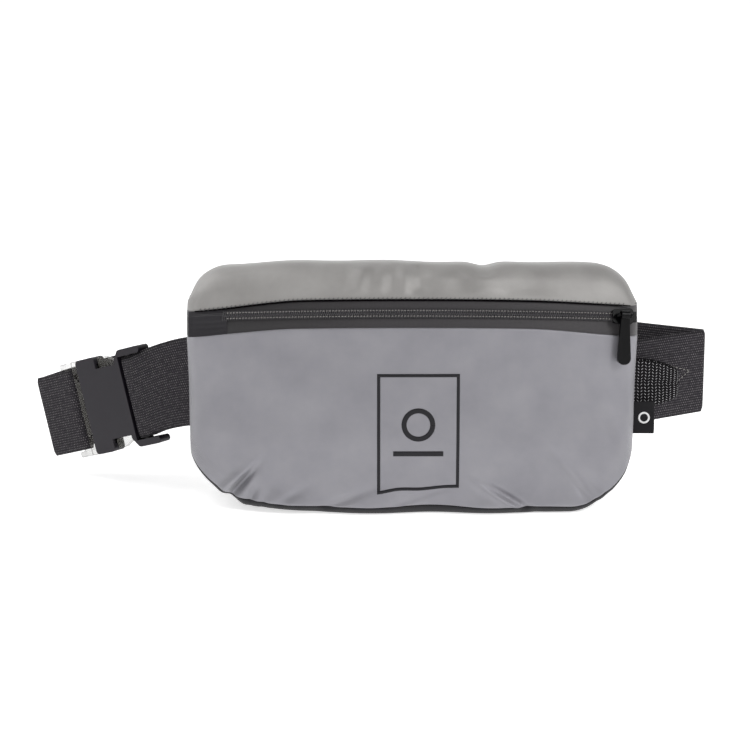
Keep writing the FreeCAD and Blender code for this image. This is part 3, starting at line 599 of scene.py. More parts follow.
# ---------------------------------------------------------------- the pouch's surface
@dataclass
class PouchShape:
    """The filled pouch as a surface: a middle section, carried along the width and closed at the side seams.

    The zip's arc comes from the joint that the slider turns about; widths come from the panels' boxes.
    """
    half_width: float = 0.0
    seam_y: float = 12.4 * MM
    height: float = 140.8 * MM
    lower_left: float = 33.0 * MM
    lower_right: float = 38.0 * MM
    left_power: float = 1.4
    right_power: float = 1.8
    upper_corner: float = 22.0 * MM
    zip_half: float = 8.0 * MM
    lean: float = math.radians(18.0)
    zip_centre: Array = field(default_factory=lambda: vec(0, -27, 115.3) * MM)
    radius: float = 0.0
    plain_from: float = 0.965
    low_widen: float = 3.6 * MM
    droop_left: float = 4.6 * MM
    droop_right: float = 1.2 * MM
    ends_from: float = 62 * MM
    ends_over: float = 66 * MM

    def __post_init__(self) -> None:
        """Takes the width and the arc from the frame."""
        low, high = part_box("front_panel")
        self.half_width = (high.x - low.x) / 2
        joint = next(j for j in frame["joints"] if j["name"] == "zip_travel")
        self.radius = float(np.linalg.norm(np.array(joint["pos_m"])[1:] - self.zip_centre[1:]))

    def zip_up(self) -> Array:
        """Direction across the zip, upwards."""
        return vec(0, math.sin(self.lean), math.cos(self.lean))

    def zip_out(self) -> Array:
        """Direction out of the zip."""
        return vec(0, -math.cos(self.lean), math.sin(self.lean))

    def sag(self, x: Array) -> Array:
        """How far the waist curve stands back at x: the radius less the root of its square less x squared."""
        return self.radius - np.sqrt(self.radius ** 2 - np.clip(np.abs(x), 0, self.half_width) ** 2)

    def toward_ends(self, x: Array) -> Array:
        """How near x is to the side seams: 0 on the plain middle, easing to 1."""
        return smooth((np.abs(x) - self.ends_from) / self.ends_over)

    def upper_droop(self, x: Array) -> Array:
        """How far the top panel's edge comes down over the zip towards the side seams."""
        ends = smooth((np.abs(x) - 58 * MM) / (68 * MM))
        return np.where(x < 0, self.droop_left, self.droop_right) * ends

    def columns(self, count: int, caps: int) -> tuple[Array, Array]:
        """Places along the width.

        Args:
            count: columns on the plain middle.
            caps: columns on each closing end.

        Returns:
            Share of the half width on the plain part, and how far each column has closed, 0 to 1.
        """
        middle = np.linspace(-self.plain_from, self.plain_from, count)
        closing = np.linspace(0, 1, caps + 1)[1:]
        share = np.concatenate([np.full(caps, -self.plain_from), middle, np.full(caps, self.plain_from)])
        shut = np.concatenate([closing[::-1], np.zeros(count), closing])
        return share, shut

    def place(self, section: Array, share: Array, shut: Array, hold: bool = False) -> Array:
        """Carries middle-section points to every column.

        The plan outline is a superellipse: depth is (1 - |x / W| ** n) ** (1 / n), with a larger n beside
        the zip. Heights are squeezed into the rounded silhouette, and the waist curve is added last.

        Args:
            section: (rows, 2) points (y, z) of the middle section.
            share: signed share of the half width for each column.
            shut: how far each column has closed.
            hold: keeps heights as given, for the zip's own strips.

        Returns:
            (rows, columns, 3) points.
        """
        y = section[:, :1]
        z = section[:, 1:]
        n = 8 + 8 * np.exp(-((z - self.zip_centre[2]) / (24 * MM)) ** 2)
        depth = (1 - np.abs(share[None]) ** n) ** (1 / n) * (1 - shut[None])
        x = np.sign(share[None]) * (1 - depth ** n) ** (1 / n) * self.half_width
        x = np.where(shut[None] > 0, x, share[None] * self.half_width)
        corner = np.where(x < 0, self.lower_left, self.lower_right)
        reach_low = np.clip(np.abs(x) - (self.half_width - corner), 0, corner)
        power = np.where(x < 0, self.left_power, self.right_power)
        floor = corner * (1 - np.maximum(1 - (reach_low / corner) ** power, 0) ** (1 / power))
        reach_high = np.clip(np.abs(x) - (self.half_width - self.upper_corner), 0, self.upper_corner)
        roof = self.height - self.upper_corner + np.sqrt(
            np.maximum(self.upper_corner ** 2 - reach_high ** 2, 0))
        knee = 62 * MM
        shoulder = self.zip_centre[2] + self.zip_half * math.cos(self.lean)
        low_part = floor + z * (knee - floor) / knee
        high_part = (shoulder + (z - shoulder) * np.maximum(roof - shoulder, 0.5 * MM)
                     / (self.height - shoulder))
        height = z + 0 * x if hold else np.where(z < knee, low_part, np.where(z > shoulder, high_part, z))
        near = np.clip(1 - np.abs(z - self.zip_centre[2]) / (16 * MM), 0, 1)
        below = z < self.zip_centre[2]
        drop = np.where(below, self.low_widen * self.toward_ends(x) * smooth(near * 1.6),
                        self.upper_droop(x) * smooth(near * 2))
        height = height if hold else height - drop
        back = self.sag(x)
        out_y = self.seam_y + (y - self.seam_y) * depth + back * math.cos(self.lean)
        out_z = height - back * math.sin(self.lean) * np.clip(height / self.zip_centre[2], 0, 1.1)
        return np.stack([x, out_y, out_z], -1)

    def zip_line(self, x: Array, along: Array, out: Array) -> Array:
        """Points on the zip's arc at x, a distance along its tape and out of it."""
        base = self.zip_centre + self.zip_up() * along[..., None] + self.zip_out() * out[..., None]
        turn = np.arcsin(np.clip(x / self.radius, -1, 1))
        pivot = self.zip_centre - self.zip_out() * self.radius
        reach = np.sum((base - pivot) * self.zip_out(), -1)
        rise = np.sum((base - pivot) * self.zip_up(), -1)
        out_dir = self.zip_out() * np.cos(turn)[..., None] + vec(1, 0, 0) * np.sin(turn)[..., None]
        return pivot + out_dir * reach[..., None] + self.zip_up() * rise[..., None]


def rounded_line(corners: list[tuple[float, float, float]], steps: int = 10) -> Array:
    """A closed line of straight runs and arcs through (y, z, radius) corners, as dense points."""
    points = []
    count = len(corners)
    for i in range(count):
        here = np.array(corners[i][:2])
        before = unit(np.array(corners[i - 1][:2]) - here)
        after = unit(np.array(corners[(i + 1) % count][:2]) - here)
        half = math.acos(float(np.clip(np.dot(before, after), -1, 1))) / 2
        radius = corners[i][2]
        centre = here + unit(before + after) * radius / math.sin(half)
        start = here + before * radius / math.tan(half)
        stop = here + after * radius / math.tan(half)
        t = np.linspace(0, 1, steps)[:, None]
        chord = start + (stop - start) * t
        points.append(centre + unit(chord - centre) * radius)
    return np.vstack(points)


def resample(line: Array, count: int) -> Array:
    """A line's points spaced evenly by distance."""
    step = np.concatenate([[0], np.cumsum(np.linalg.norm(np.diff(line, axis=0), axis=1))])
    at = np.linspace(0, step[-1], count)
    return np.stack([np.interp(at, step, line[:, k]) for k in range(line.shape[1])], -1)


# ---------------------------------------------------------------- shell panels
@dataclass
class Shell:
    """Front, base, back and top panels, sewn to each other along shared rows and simulated as one cloth."""
    shape: PouchShape
    columns: int = 150
    caps: int = 9
    rows: tuple[int, int, int, int] = (70, 16, 44, 34)
    wall: float = 1.1 * MM
    spare: float = 0.035
    swell: float = 1.6
    cap: float = 7.0 * MM
    steps: int = 24

    def section(self) -> list[Array]:
        """The middle section's four stretches, from the zip's lower edge round to its upper edge."""
        s = self.shape
        low = s.zip_centre - s.zip_up() * s.zip_half
        high = s.zip_centre + s.zip_up() * s.zip_half
        h = s.height
        corners = [(-29.0 * MM, 0, 6 * MM), (-31.5 * MM, 44 * MM, 110 * MM), (low[1], low[2], 8 * MM),
                   (high[1], high[2], 8 * MM), (-13.5 * MM, h + 1.5 * MM, 17 * MM),
                   (27 * MM, h - 1 * MM, 11 * MM), (27 * MM, 0, 10 * MM)]
        line = rounded_line(corners)
        marks = [low[1:], vec(-28.9, 3.8) * MM, vec(21, 0.6) * MM, vec(20, 140) * MM, high[1:]]
        forward = np.roll(line[::-1], 1, axis=0)
        index = [int(np.argmin(np.linalg.norm(forward - m, axis=1))) for m in marks]
        forward = np.roll(forward, -index[0], axis=0)
        index = [(i - index[0]) % len(forward) for i in index]
        parts = [resample(forward[a:b + 1], rows) for a, b, rows in zip(index[:-1], index[1:], self.rows)]
        parts[0][0] = low[1:]
        parts[3][-1] = high[1:]
        for k in range(3):
            parts[k + 1][0] = parts[k][-1]
        return parts

    def folds(self, grid: Array) -> Array:
        """Given folds: hem waves, corner darts and puckers above the zip, moved along Y and Z.

        A crease is a narrow bell across its own line; its strength fades along the line.
        """
        x, z = grid[..., 0], grid[..., 2]
        front = np.clip(-(grid[..., 1] - 8 * MM) / (20 * MM), 0, 1)
        low = np.exp(-((z - 4 * MM) / (7 * MM)) ** 2)
        wave = np.sin(x / (21 * MM) + 1.2) * 0.6 + np.sin(x / (9.5 * MM) + 0.4) * 0.4
        push = low * wave * 2.8 * MM
        # Each dart's place, height, tilt, strength, width and reach, in mm but for the tilt.
        darts = ((-99, 12, 0.75, 6.5, 2.2, 11), (-106, 12, 0.9, -3.0, 3.0, 10), (-91, 7, 0.3, 3.0, 2.2, 7),
                 (-84, 5, 0.2, 2.2, 2.0, 6),
                 (97, 16, -0.8, 2.8, 4.0, 16), (108, 13, -0.9, 1.8, 3.0, 10),
                 (55, 10, -1.6, 3.4, 3.4, 8), (47, 12, -1.5, -1.6, 4.0, 9),
                 (-40, 8, 2.0, 1.6, 5.0, 8), (4, 11, 2.6, 1.4, 4.0, 6),
                 (-70, 8, 1.2, 1.3, 4.0, 7), (118, 44, -0.5, 1.2, 6.0, 34))
        for at, high, tilt, strength, wide, reach in darts:
            crease = (x - at * MM) - tilt * (z - high * MM)
            fade = np.exp(-((z - high * MM) / (reach * MM)) ** 2)
            push += strength * MM * fade * np.exp(-(crease / (wide * MM)) ** 2)
        soft = np.sin(x / (34 * MM) + z / (25 * MM)) * np.sin(z / (19 * MM) + 1.0) * 0.35 * MM
        push += soft * smooth(z / (30 * MM)) * (1 - smooth((z - 90 * MM) / (16 * MM)))
        above = smooth((z - 123.6 * MM) / (5 * MM)) * (1 - smooth((z - 139 * MM) / (5 * MM)))
        drift = x + 0.35 * (z - 125 * MM) * np.sin(x / (40 * MM))
        pucker = (np.sin(drift / (4.6 * MM) + 1.7 * np.sin(x / (23 * MM))) * 0.55
                  + np.sin(drift / (11 * MM) + 0.8) * 0.75)
        strong = 0.55 + 0.45 * np.sin(x / (33 * MM) + 1.1)
        push += above * pucker * strong * 1.9 * MM
        middle = np.exp(-((x + 14 * MM) / (22 * MM)) ** 2)
        push += above * middle * np.sin(drift / (2.3 * MM)) * 0.9 * MM
        out = grid.copy()
        out[..., 1] += push * front
        hem = np.exp(-((z - 3 * MM) / (2.2 * MM)) ** 2) * front
        out[..., 2] += hem * (wave + 0.8) * 1.5 * MM
        lift = 3.0 * MM * smooth((-x - 30 * MM) / (75 * MM)) * (1 - smooth(z / (60 * MM)))
        out[..., 2] += lift * front
        crown = smooth((z - 133 * MM) / (6 * MM))
        dip = (np.exp(-((x - 41 * MM) / (7 * MM)) ** 2) * 2.4 + np.sin(x / (26 * MM) + 0.7) * 0.6
               + np.sin(x / (9 * MM)) * 0.35)
        out[..., 2] -= crown * dip * MM
        return out

    def simulate(self, points: Array, faces: Array, held: Array) -> Array:
        """Lets the sewn cloth swell and find its own wrinkles.

        Args:
            points: (n, 3) start.
            faces: quads.
            held: 0 to 1 for each point, how firmly its seam holds it.

        Returns:
            The settled points, none moved further than the cap.
        """
        obj = mesh_object("shell_cloth", points, faces)
        group = obj.vertex_groups.new(name="held")
        for level in np.unique(np.round(held[held > 0], 2)):
            index = np.nonzero(np.round(held, 2) == level)[0]
            group.add([int(i) for i in index], float(level), "REPLACE")
        cloth = obj.modifiers.new("cloth", "CLOTH")
        settings = cloth.settings
        settings.quality = 7
        settings.mass = 0.25
        settings.tension_stiffness = 25
        settings.compression_stiffness = 25
        settings.shear_stiffness = 12
        settings.bending_stiffness = 0.12
        settings.vertex_group_mass = "held"
        settings.shrink_min = -self.spare
        settings.use_pressure = True
        settings.uniform_pressure_force = self.swell
        settings.effector_weights.gravity = 0
        cloth.collision_settings.use_collision = False
        cloth.collision_settings.use_self_collision = False
        cloth.point_cache.frame_start = 1
        cloth.point_cache.frame_end = self.steps
        scene = bpy.context.scene
        for step in range(1, self.steps + 1):
            scene.frame_set(step)
        depsgraph = bpy.context.evaluated_depsgraph_get()
        settled = obj.evaluated_get(depsgraph).data
        out = np.empty(len(points) * 3, np.float32)
        settled.vertices.foreach_get("co", out)
        scene.frame_set(1)
        bpy.data.objects.remove(obj)
        move = out.reshape(-1, 3) - points
        size = np.linalg.norm(move, axis=1, keepdims=True)
        return points + move * np.minimum(1, self.cap / np.maximum(size, 1e-9))

    def build(self, finishes: Finishes) -> None:
        """Makes the surface, settles it as cloth and cuts it into its panels."""
        parts = self.section()
        share, shut = self.shape.columns(self.columns, self.caps)
        stack = np.vstack([parts[0]] + [p[1:] for p in parts[1:]])
        grid = self.folds(self.shape.place(stack, share, shut))
        rows, cols = grid.shape[:2]
        ends = np.cumsum([0] + [len(parts[0]) - 1] + [len(p) - 1 for p in parts[1:]])
        held = np.zeros((rows, cols))
        held[[ends[0], ends[4]]] = 1.0
        held[[ends[1], ends[2], ends[3]]] = 0.5
        held[ends[1]:ends[2] + 1] = 0.9
        held[:, [0, 1, 2, 3, -4, -3, -2, -1]] = 1.0
        settled = self.simulate(grid.reshape(-1, 3), grid_faces(rows, cols, flip=True), held.ravel())
        grid = settled.reshape(rows, cols, 3)
        grid[..., 2] = np.maximum(grid[..., 2], 0.0)
        plan = (("front_panel", "front_skin", finishes.shell, "shell_fabric"),
                ("base_panel", "base_skin", finishes.back, "back_fabric"),
                ("back_panel", "back_skin", finishes.back, "back_fabric"),
                ("top_panel", "top_skin", finishes.top, "shell_fabric"))
        for (node, name, material, slot), a, b in zip(plan, ends[:-1], ends[1:]):
            part = grid[a:b + 1]
            piece = grid_object(name, part, flip=True)
            finish_mesh(piece, self.wall, levels=1)
            dress(piece, material, "bag")
            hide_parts(node)
        self.binding(grid[ends[2]:ends[3] + 1], finishes)

    def binding(self, rear: Array, finishes: Finishes) -> None:
        """The tape that binds the back panel's seam allowance, inside the bag.

        Args:
            rear: the back panel's points.
            finishes: the bag's finishes.
        """
        middle = vec(0, 6, 70) * MM
        edges = []
        for rows in (rear[:5], rear[-5:][::-1]):
            inward = unit(middle * vec(0, 1, 1) - rows * vec(0, 1, 1))
            depth = np.linspace(1.6, 4.5, 5)[:, None, None] * MM
            edges.append(rows[:1] + inward[:1] * depth)
        grids = [grid_faces(5, edges[0].shape[1]) + 5 * edges[0].shape[1] * k for k in range(2)]
        points = np.concatenate([e.reshape(-1, 3) for e in edges])
        piece = mesh_object("seam_tape", points, np.vstack(grids))
        finish_mesh(piece, 0.6 * MM, offset=0.0)
        dress(piece, finishes.back, "bag")
        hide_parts("seam_binding")


# ---------------------------------------------------------------- zip
@dataclass
class Zip:
    """Tapes, interlocked coils, end tab and stop."""
    shape: PouchShape
    pitch: float = 1.15 * MM
    left: float = -106.0 * MM
    right: float = 123.4 * MM
    tuck: float = 1.4 * MM
    spread: float = 3.4 * MM

    def tape(self, name: str, low: float, high: float, finishes: Finishes, node: str) -> None:
        """One tape: a strip on the pouch's own surface, a little behind the panels."""
        share, shut = self.shape.columns(120, 9)
        across = np.linspace(low, high, 10)
        sink = -0.9 * MM + 0.25 * MM * np.sin(np.linspace(0, math.pi, 10))
        section = (self.shape.zip_centre[1:] + self.shape.zip_up()[1:] * across[:, None]
                   + self.shape.zip_out()[1:] * sink[:, None])
        grid = self.shape.place(section, share, shut, hold=True)
        grid[..., 2] -= self.let_down(grid[..., 0], across[:, None])
        piece = grid_object(name, grid)
        finish_mesh(piece, 0.5 * MM, levels=1)
        dress(piece, finishes.tape, "bag")
        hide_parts(node)

    def tooth(self) -> tuple[Array, Array]:
        """One turn of coil as a rounded bar: rings of six points along a line that swells at its head.

        Returns:
            (n, 3) points as (along the zip, across it, out of it), and quads.
        """
        stations = np.array([[0.0, 0.30], [0.15, 0.42], [0.55, 0.40],
                             [0.85, 0.50], [0.97, 0.42], [1.0, 0.16]])
        turn = np.arange(6) * math.pi / 3
        across = stations[:, :1] * 3.2 * MM + 0 * turn
        radius = stations[:, 1:] * MM
        points = np.stack([radius * np.cos(turn), across, radius * np.sin(turn) * 1.15], -1)
        quads = tube_faces(len(stations), 6)
        last = np.arange(6) + (len(stations) - 1) * 6
        caps = np.array([[last[0], last[1], last[2], last[3]], [last[0], last[3], last[4], last[5]]])
        return points.reshape(-1, 3), np.vstack([quads, caps])

    def coil(self, name: str, side: int, finishes: Finishes, node: str) -> None:
        """One row of teeth: the tooth repeated by broadcasting, each row reaching over the middle."""
        tooth, quads = self.tooth()
        start = self.left + (0.5 * self.pitch if side > 0 else 0)
        at = np.arange(start, self.right, self.pitch)
        x = at[:, None] + tooth[None, :, 0]
        along = side * (2.55 * MM - tooth[None, :, 1]) + 0 * x
        arch = 0.45 * MM * np.sin(math.pi * np.clip(tooth[None, :, 1] / (3.2 * MM), 0, 1))
        out = 0.15 * MM + arch + tooth[None, :, 2] + 0 * x
        points = self.shape.zip_line(x, along, out).reshape(-1, 3)
        faces = (quads[None] + (np.arange(len(at)) * len(tooth))[:, None, None]).reshape(-1, 4)
        if side > 0:
            faces = faces[:, ::-1]
        piece = mesh_object(name, points, faces)
        dress(piece, finishes.nylon, "bag")
        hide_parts(node)

    def let_down(self, x: Array, along: Array) -> Array:
        """How far the tape comes down at x: in proportion to the distance above or below the coils."""
        above = np.clip(along / self.shape.zip_half, 0, 1)
        below = np.clip(-along / self.shape.zip_half, 0, 1)
        return (self.shape.upper_droop(x) * above
                + self.spread * below * self.shape.toward_ends(x))

    def edge_line(self, x: Array, along: Array, out: Array) -> Array:
        """Points on the zip's arc, let down towards the side seams as the panels' two edges are."""
        points = self.shape.zip_line(x, along, out)
        points[..., 2] -= self.let_down(x, along)
        return points

    def stitching(self, finishes: Finishes) -> None:
        """Rows of short stitches that hold the coils to the tapes."""
        at = np.arange(self.left + 3 * MM, self.right, 1.73 * MM)
        run = np.linspace(-1, 1, 4)
        lines = []
        for along in (-1.55 * MM, 1.55 * MM):
            x = at[:, None] + 0.45 * MM * run
            off = along + 0.15 * MM * run + 0 * x
            lines.append(self.shape.zip_line(x, off, 0.95 * MM + 0.22 * MM * (1 - run ** 2) + 0 * x))
        points, faces = threads(np.concatenate(lines), 0.27 * MM, self.shape.zip_out())
        piece = mesh_object("coil_stitching", points, faces)
        dress(piece, finishes.pale_thread, "bag")

    def edge_stitches(self, finishes: Finishes) -> None:
        """Dark stitches that cross the turned edge of the top panel all along the zip, and a black cord just
        below that edge, a painted shadow of it.
        """
        at = np.arange(-0.93, 0.935, 0.0195) * self.shape.half_width
        run = np.linspace(-1, 1, 4)
        x = at[:, None] + 0.5 * MM * run
        along = 8.35 * MM + 0.8 * MM * run + 0 * x
        out = 0.35 * MM + 0.3 * MM * (1 - run ** 2) + 0 * x
        points, faces = threads(self.edge_line(x, along, out), 0.26 * MM, self.shape.zip_out())
        dress(mesh_object("edge_stitches", points, faces), finishes.thread, "bag")
        # A black cord just below the turned edge: a painted shadow of that edge, not a part of the bag.
        x = np.linspace(-0.955, 0.955, 160)[None] * self.shape.half_width
        points, faces = threads(self.edge_line(x, 7.6 * MM + 0 * x, 0.1 * MM + 0 * x), 0.55 * MM,
                                self.shape.zip_out())
        dress(mesh_object("edge_shadow_cord", points, faces), finishes.shade, "bag")

    def tab(self, finishes: Finishes) -> None:
        """The cloth tab over the coils' left ends."""
        x = np.linspace(self.left - 20 * MM, self.left + 2.5 * MM, 44)[:, None]
        share = np.linspace(0, 1, 40)
        across = (-7.9 + 15.3 * share) * MM + 0 * x
        edge = 1 - np.abs(2 * share - 1) ** 6
        rise = np.exp(-(across / (3.2 * MM)) ** 2) * smooth((x - x[0]) / (12 * MM))
        ribs = 0.12 * MM * np.sin(across / (0.33 * MM)) * edge
        out = (-0.6 * MM + 1.35 * MM * rise) * edge - 0.4 * MM * (1 - edge) + ribs
        grid = self.edge_line(x + 0 * across, across, out)
        piece = grid_object("zip_tab", grid, flip=True)
        finish_mesh(piece, 0.25 * MM, levels=1)
        dress(piece, finishes.tab, "bag")
        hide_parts("zip_end_tab")

    def build(self, finishes: Finishes) -> None:
        """Makes every fixed piece of the zip."""
        wide = self.shape.zip_half + self.tuck
        self.tape("tape_lower", -wide, -0.12 * MM, finishes, "zip_tape_lower")
        self.tape("tape_upper", 0.12 * MM, wide, finishes, "zip_tape_upper")
        self.coil("coil_upper", 1, finishes, "zip_coil_upper")
        self.coil("coil_lower", -1, finishes, "zip_coil_lower")
        self.stitching(finishes)
        self.edge_stitches(finishes)
        self.tab(finishes)
        paint(frame["nodes"]["zip_stop"], finishes.enamel)


# ---------------------------------------------------------------- hard pieces with softened edges
@dataclass
class SoftenedNode:
    """A hard piece of the frame with its moulded edge radius."""
    node: str
    name: str
    body: str
    slot: str
    edge: float

    def build(self, material: bpy.types.Material) -> bpy.types.Object:
        """Merges a copy of the frame's piece, rounds its edges and puts it in the piece's place."""
        source = frame["nodes"][self.node]
        mesh = source.data.copy()
        form = bmesh.new()
        form.from_mesh(mesh)
        bmesh.ops.remove_doubles(form, verts=form.verts, dist=1e-6)
        bmesh.ops.dissolve_limit(form, angle_limit=math.radians(1.5), verts=form.verts, edges=form.edges)
        bmesh.ops.recalc_face_normals(form, faces=form.faces)
        plain = bpy.data.meshes.new(self.name)
        form.to_mesh(plain)
        form.free()
        bpy.data.meshes.remove(mesh)
        layer = plain.attributes.get("custom_normal")
        if layer:
            plain.attributes.remove(layer)
        piece = bpy.data.objects.new(self.name, plain)
        bpy.context.scene.collection.objects.link(piece)
        plain.polygons.foreach_set("use_smooth", np.ones(len(plain.polygons), bool))
        finish_mesh(piece, bevel=self.edge)
        even = piece.modifiers.new("even", "WEIGHTED_NORMAL")
        even.keep_sharp = True
        settle(piece)
        dress(piece, material, self.body)
        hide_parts(self.node)
        return piece


# ---------------------------------------------------------------- webbing
def band_surface(centre: Array, side: Array, up: Array, width: Array, thick: float, name: str
                 ) -> bpy.types.Object:
    """Flat webbing as a closed tube with a flattened section.

    Each ring is a superellipse: up times half the width times a rounded cosine, side times half the
    thickness times a rounded sine. The ends are closed by rings that shrink to a line.

    Args:
        centre: (n, 3) centre line.
        side: (n, 3) thickness directions.
        up: (n, 3) width directions.
        width: (n,) widths.
        thick: the thickness.
        name: the piece's name.

    Returns:
        The new object, with U along the webbing and V across it.
    """
    across = np.concatenate([np.linspace(1, -1, 20), np.linspace(-1, 1, 20)])
    out = np.concatenate([(1 - np.abs(across[:20]) ** 14) ** 0.5, -(1 - np.abs(across[20:]) ** 14) ** 0.5])
    level = centre[:, None] + up[:, None] * (across[None, :, None] * width[:, None, None] / 2)
    ring = level + side[:, None] * (out[None, :, None] * thick / 2)
    rings = np.concatenate([level[:1], ring, level[-1:]])
    rows, cols = rings.shape[:2]
    step = np.concatenate([[0, 0], np.cumsum(np.linalg.norm(np.diff(centre, axis=0), axis=1)), [0]])
    step[-1] = step[-2]
    quads = tube_faces(rows, cols)
    uv = np.stack([step[:, None] + 0 * across, across * width.max() / 2 + 0 * step[:, None]], -1)
    piece = mesh_object(name, rings.reshape(-1, 3), quads, uv.reshape(-1, 2))
    form = bmesh.new()
    form.from_mesh(piece.data)
    bmesh.ops.remove_doubles(form, verts=form.verts, dist=1e-7)
    bmesh.ops.recalc_face_normals(form, faces=form.faces)
    form.to_mesh(piece.data)
    form.free()
    return piece


@dataclass
class BuckleAxes:
    """The buckle's own directions, from the joint that the halves slide along."""
    mouth: Array = field(default_factory=lambda: vec(-196.0, 64.0, 44.7) * MM)
    u: Array = field(default_factory=lambda: vec(0, 0, 0))
    n: Array = field(default_factory=lambda: vec(0, 0, 0))
    w: Array = field(default_factory=lambda: vec(0, 0, 0))

    def __post_init__(self) -> None:
        """Reads the slide's axis and squares the other two directions to it."""
        joint = next(j for j in frame["joints"] if j["name"] == "buckle_release")
        self.u = unit(np.array(joint["axis"], float))
        self.n = unit(np.cross(self.u, vec(0, 0, 1)))
        if self.n[1] > 0:
            self.n = -self.n
        self.w = np.cross(self.u, self.n)

    def at(self, w: float, u: float, n: float) -> Array:
        """A point from its distances along the buckle's own directions."""
        return self.mouth + self.w * w + self.u * u + self.n * n


@dataclass
class Belt:
    """Long elastic belt: right seam and fold, behind the bag, left fold, round the clear bar, and a tail."""
    axes: BuckleAxes
    width: float = 50 * MM
    thick: float = 1.8 * MM
    seam: Array = field(default_factory=lambda: vec(127.0, 24.6, 66.8) * MM)
    fold: Array = field(default_factory=lambda: vec(177.5, 47.0, 70.3) * MM)
    corner: Array = field(default_factory=lambda: vec(142.0, 80.0, 70.3) * MM)
    fold_radius: float = 2.5 * MM
    back_turn: float = 60 * MM
    bar_middle: float = 10.25 * MM
    bar_half: float = 2.25 * MM
    layer: float = 3.2 * MM
    fold_reach: float = 35.5 * MM
    tail_reach: float = 24.5 * MM
    late_drop: float = 3.3

    def arc(self, pivot: Array, radius: float, start: Array, stop: Array, steps: int) -> tuple[Array, Array]:
        """Centres and outward directions on an arc from one direction to another, turned evenly."""
        angle = math.acos(float(np.clip(np.dot(start, stop), -1, 1)))
        t = np.linspace(0, 1, steps)[:, None]
        out = (np.sin((1 - t) * angle) * start + np.sin(t * angle) * stop) / math.sin(angle)
        return pivot + out * radius, out

    def build(self, finishes: Finishes) -> None:
        """Runs the belt's centre line through its stretches and makes the webbing."""
        up_z = vec(0, 0, 1)
        first = unit((self.fold - self.seam) * vec(1, 1, 0))
        second = unit((self.corner - self.fold) * vec(1, 1, 0))
        left_first = np.cross(up_z, first)
        left_second = np.cross(up_z, second)
        pivot = self.fold + (left_first - first) * self.fold_radius
        turn, out = self.arc(pivot, self.fold_radius, -left_first, -left_second, 9)
        run = np.linspace(self.seam, turn[0], 12)[:-1]
        stretches = [(run, rows_of(-left_first, len(run)), rows_of(up_z, len(run))),
                     (turn, out, rows_of(up_z, len(turn)))]
        wide = self.corner + left_second * self.back_turn
        bend, out = self.arc(wide, self.back_turn, -left_second, vec(0, 1, 0), 14)
        run = np.linspace(turn[-1], bend[0], 8)[1:-1]
        stretches.append((run, rows_of(-left_second, len(run)), rows_of(up_z, len(run))))
        stretches.append((bend, out, rows_of(up_z, len(bend))))
        a = self.axes
        left_pivot = a.at(0, self.fold_reach - self.fold_radius, self.layer - self.fold_radius)
        end = left_pivot - a.n * self.fold_radius
        start = bend[-1]
        t = np.linspace(0, 1, 60)[1:-1, None]
        back = start + (end - start) * t
        late = t ** self.late_drop
        back[:, 2] = (start[2] + (end[2] - start[2]) * late)[:, 0]
        up = unit(up_z * (1 - late) + a.w * late)
        travel = unit(np.gradient(back, axis=0))
        side = -unit(np.cross(up, travel))
        up = unit(np.cross(travel, side))
        up = np.where(up[:, 2:] < 0, -up, up)
        stretches.append((back, side, up))
        rear = unit(side[-1] - a.w * np.dot(side[-1], a.w))
        middle = unit(a.u - a.w * np.dot(a.u, a.w))
        one, out_one = self.arc(left_pivot, self.fold_radius, rear, middle, 7)
        two, out_two = self.arc(left_pivot, self.fold_radius, middle, a.n, 6)
        turn = np.vstack([one, two[1:]])
        out = np.vstack([out_one, out_two[1:]])
        stretches.append((turn, out, rows_of(a.w, len(turn))))
        front = np.linspace(a.at(0, self.fold_reach - 2 * self.fold_radius, self.layer),
                            a.at(0, self.bar_middle, self.layer), 10)
        stretches.append((front, rows_of(a.n, 10), rows_of(a.w, 10)))
        bar = a.at(0, self.bar_middle, 0)
        around = np.linspace(0, math.pi, 12)[1:-1, None]
        wrap_out = a.n * np.cos(around) - a.u * np.sin(around)
        wrap = bar + a.n * self.layer * np.cos(around) - a.u * (self.bar_half + 1.2 * MM) * np.sin(around)
        stretches.append((wrap, wrap_out, rows_of(a.w, len(wrap))))
        tail = np.linspace(a.at(0, self.bar_middle, -self.layer), a.at(0, self.tail_reach, -self.layer), 6)
        stretches.append((tail, rows_of(-a.n, 6), rows_of(a.w, 6)))
        centre = np.vstack([s[0] for s in stretches])
        side = np.vstack([s[1] for s in stretches])
        up = np.vstack([s[2] for s in stretches])
        length = float(np.linalg.norm(np.diff(centre, axis=0), axis=1).sum())
        LOG.info("belt length %.0f mm", length / MM)
        piece = band_surface(centre, unit(side), up, np.full(len(centre), self.width), self.thick, "belt")
        paint(piece, finishes.webbing)
        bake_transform(piece)
        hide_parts("belt_main", "belt_buckle_end")
        self.anchor_stitches(finishes)

    def anchor_stitches(self, finishes: Finishes) -> None:
        """The triangle of stitches that anchors the side loop's tape on the belt's front layer."""
        corners = vec(0.153, 0.0755), vec(0.1675, 0.0715), vec(0.156, 0.0625)
        lines = [np.linspace(a, b, 7) for a, b in zip(corners, corners[1:] + corners[:1])]
        middle = np.vstack([(line[:-1] + line[1:]) / 2 for line in lines])
        along = np.vstack([line[1:] - line[:-1] for line in lines]) * 0.3
        run = np.linspace(-1, 1, 4)
        place = middle[:, None] + along[:, None] * run[None, :, None]
        slope = (self.fold[1] - self.seam[1]) / (self.fold[0] - self.seam[0])
        y = (self.seam[1] + slope * (place[..., 0] - self.seam[0]) - self.thick * 0.62
             - 0.25 * MM * (1 - run ** 2))
        points, faces = threads(np.stack([place[..., 0], y, place[..., 1]], -1), 0.3 * MM, vec(0, -1, 0))
        piece = mesh_object("anchor_stitches", points, faces)
        dress(piece, finishes.pale_thread, "bag")


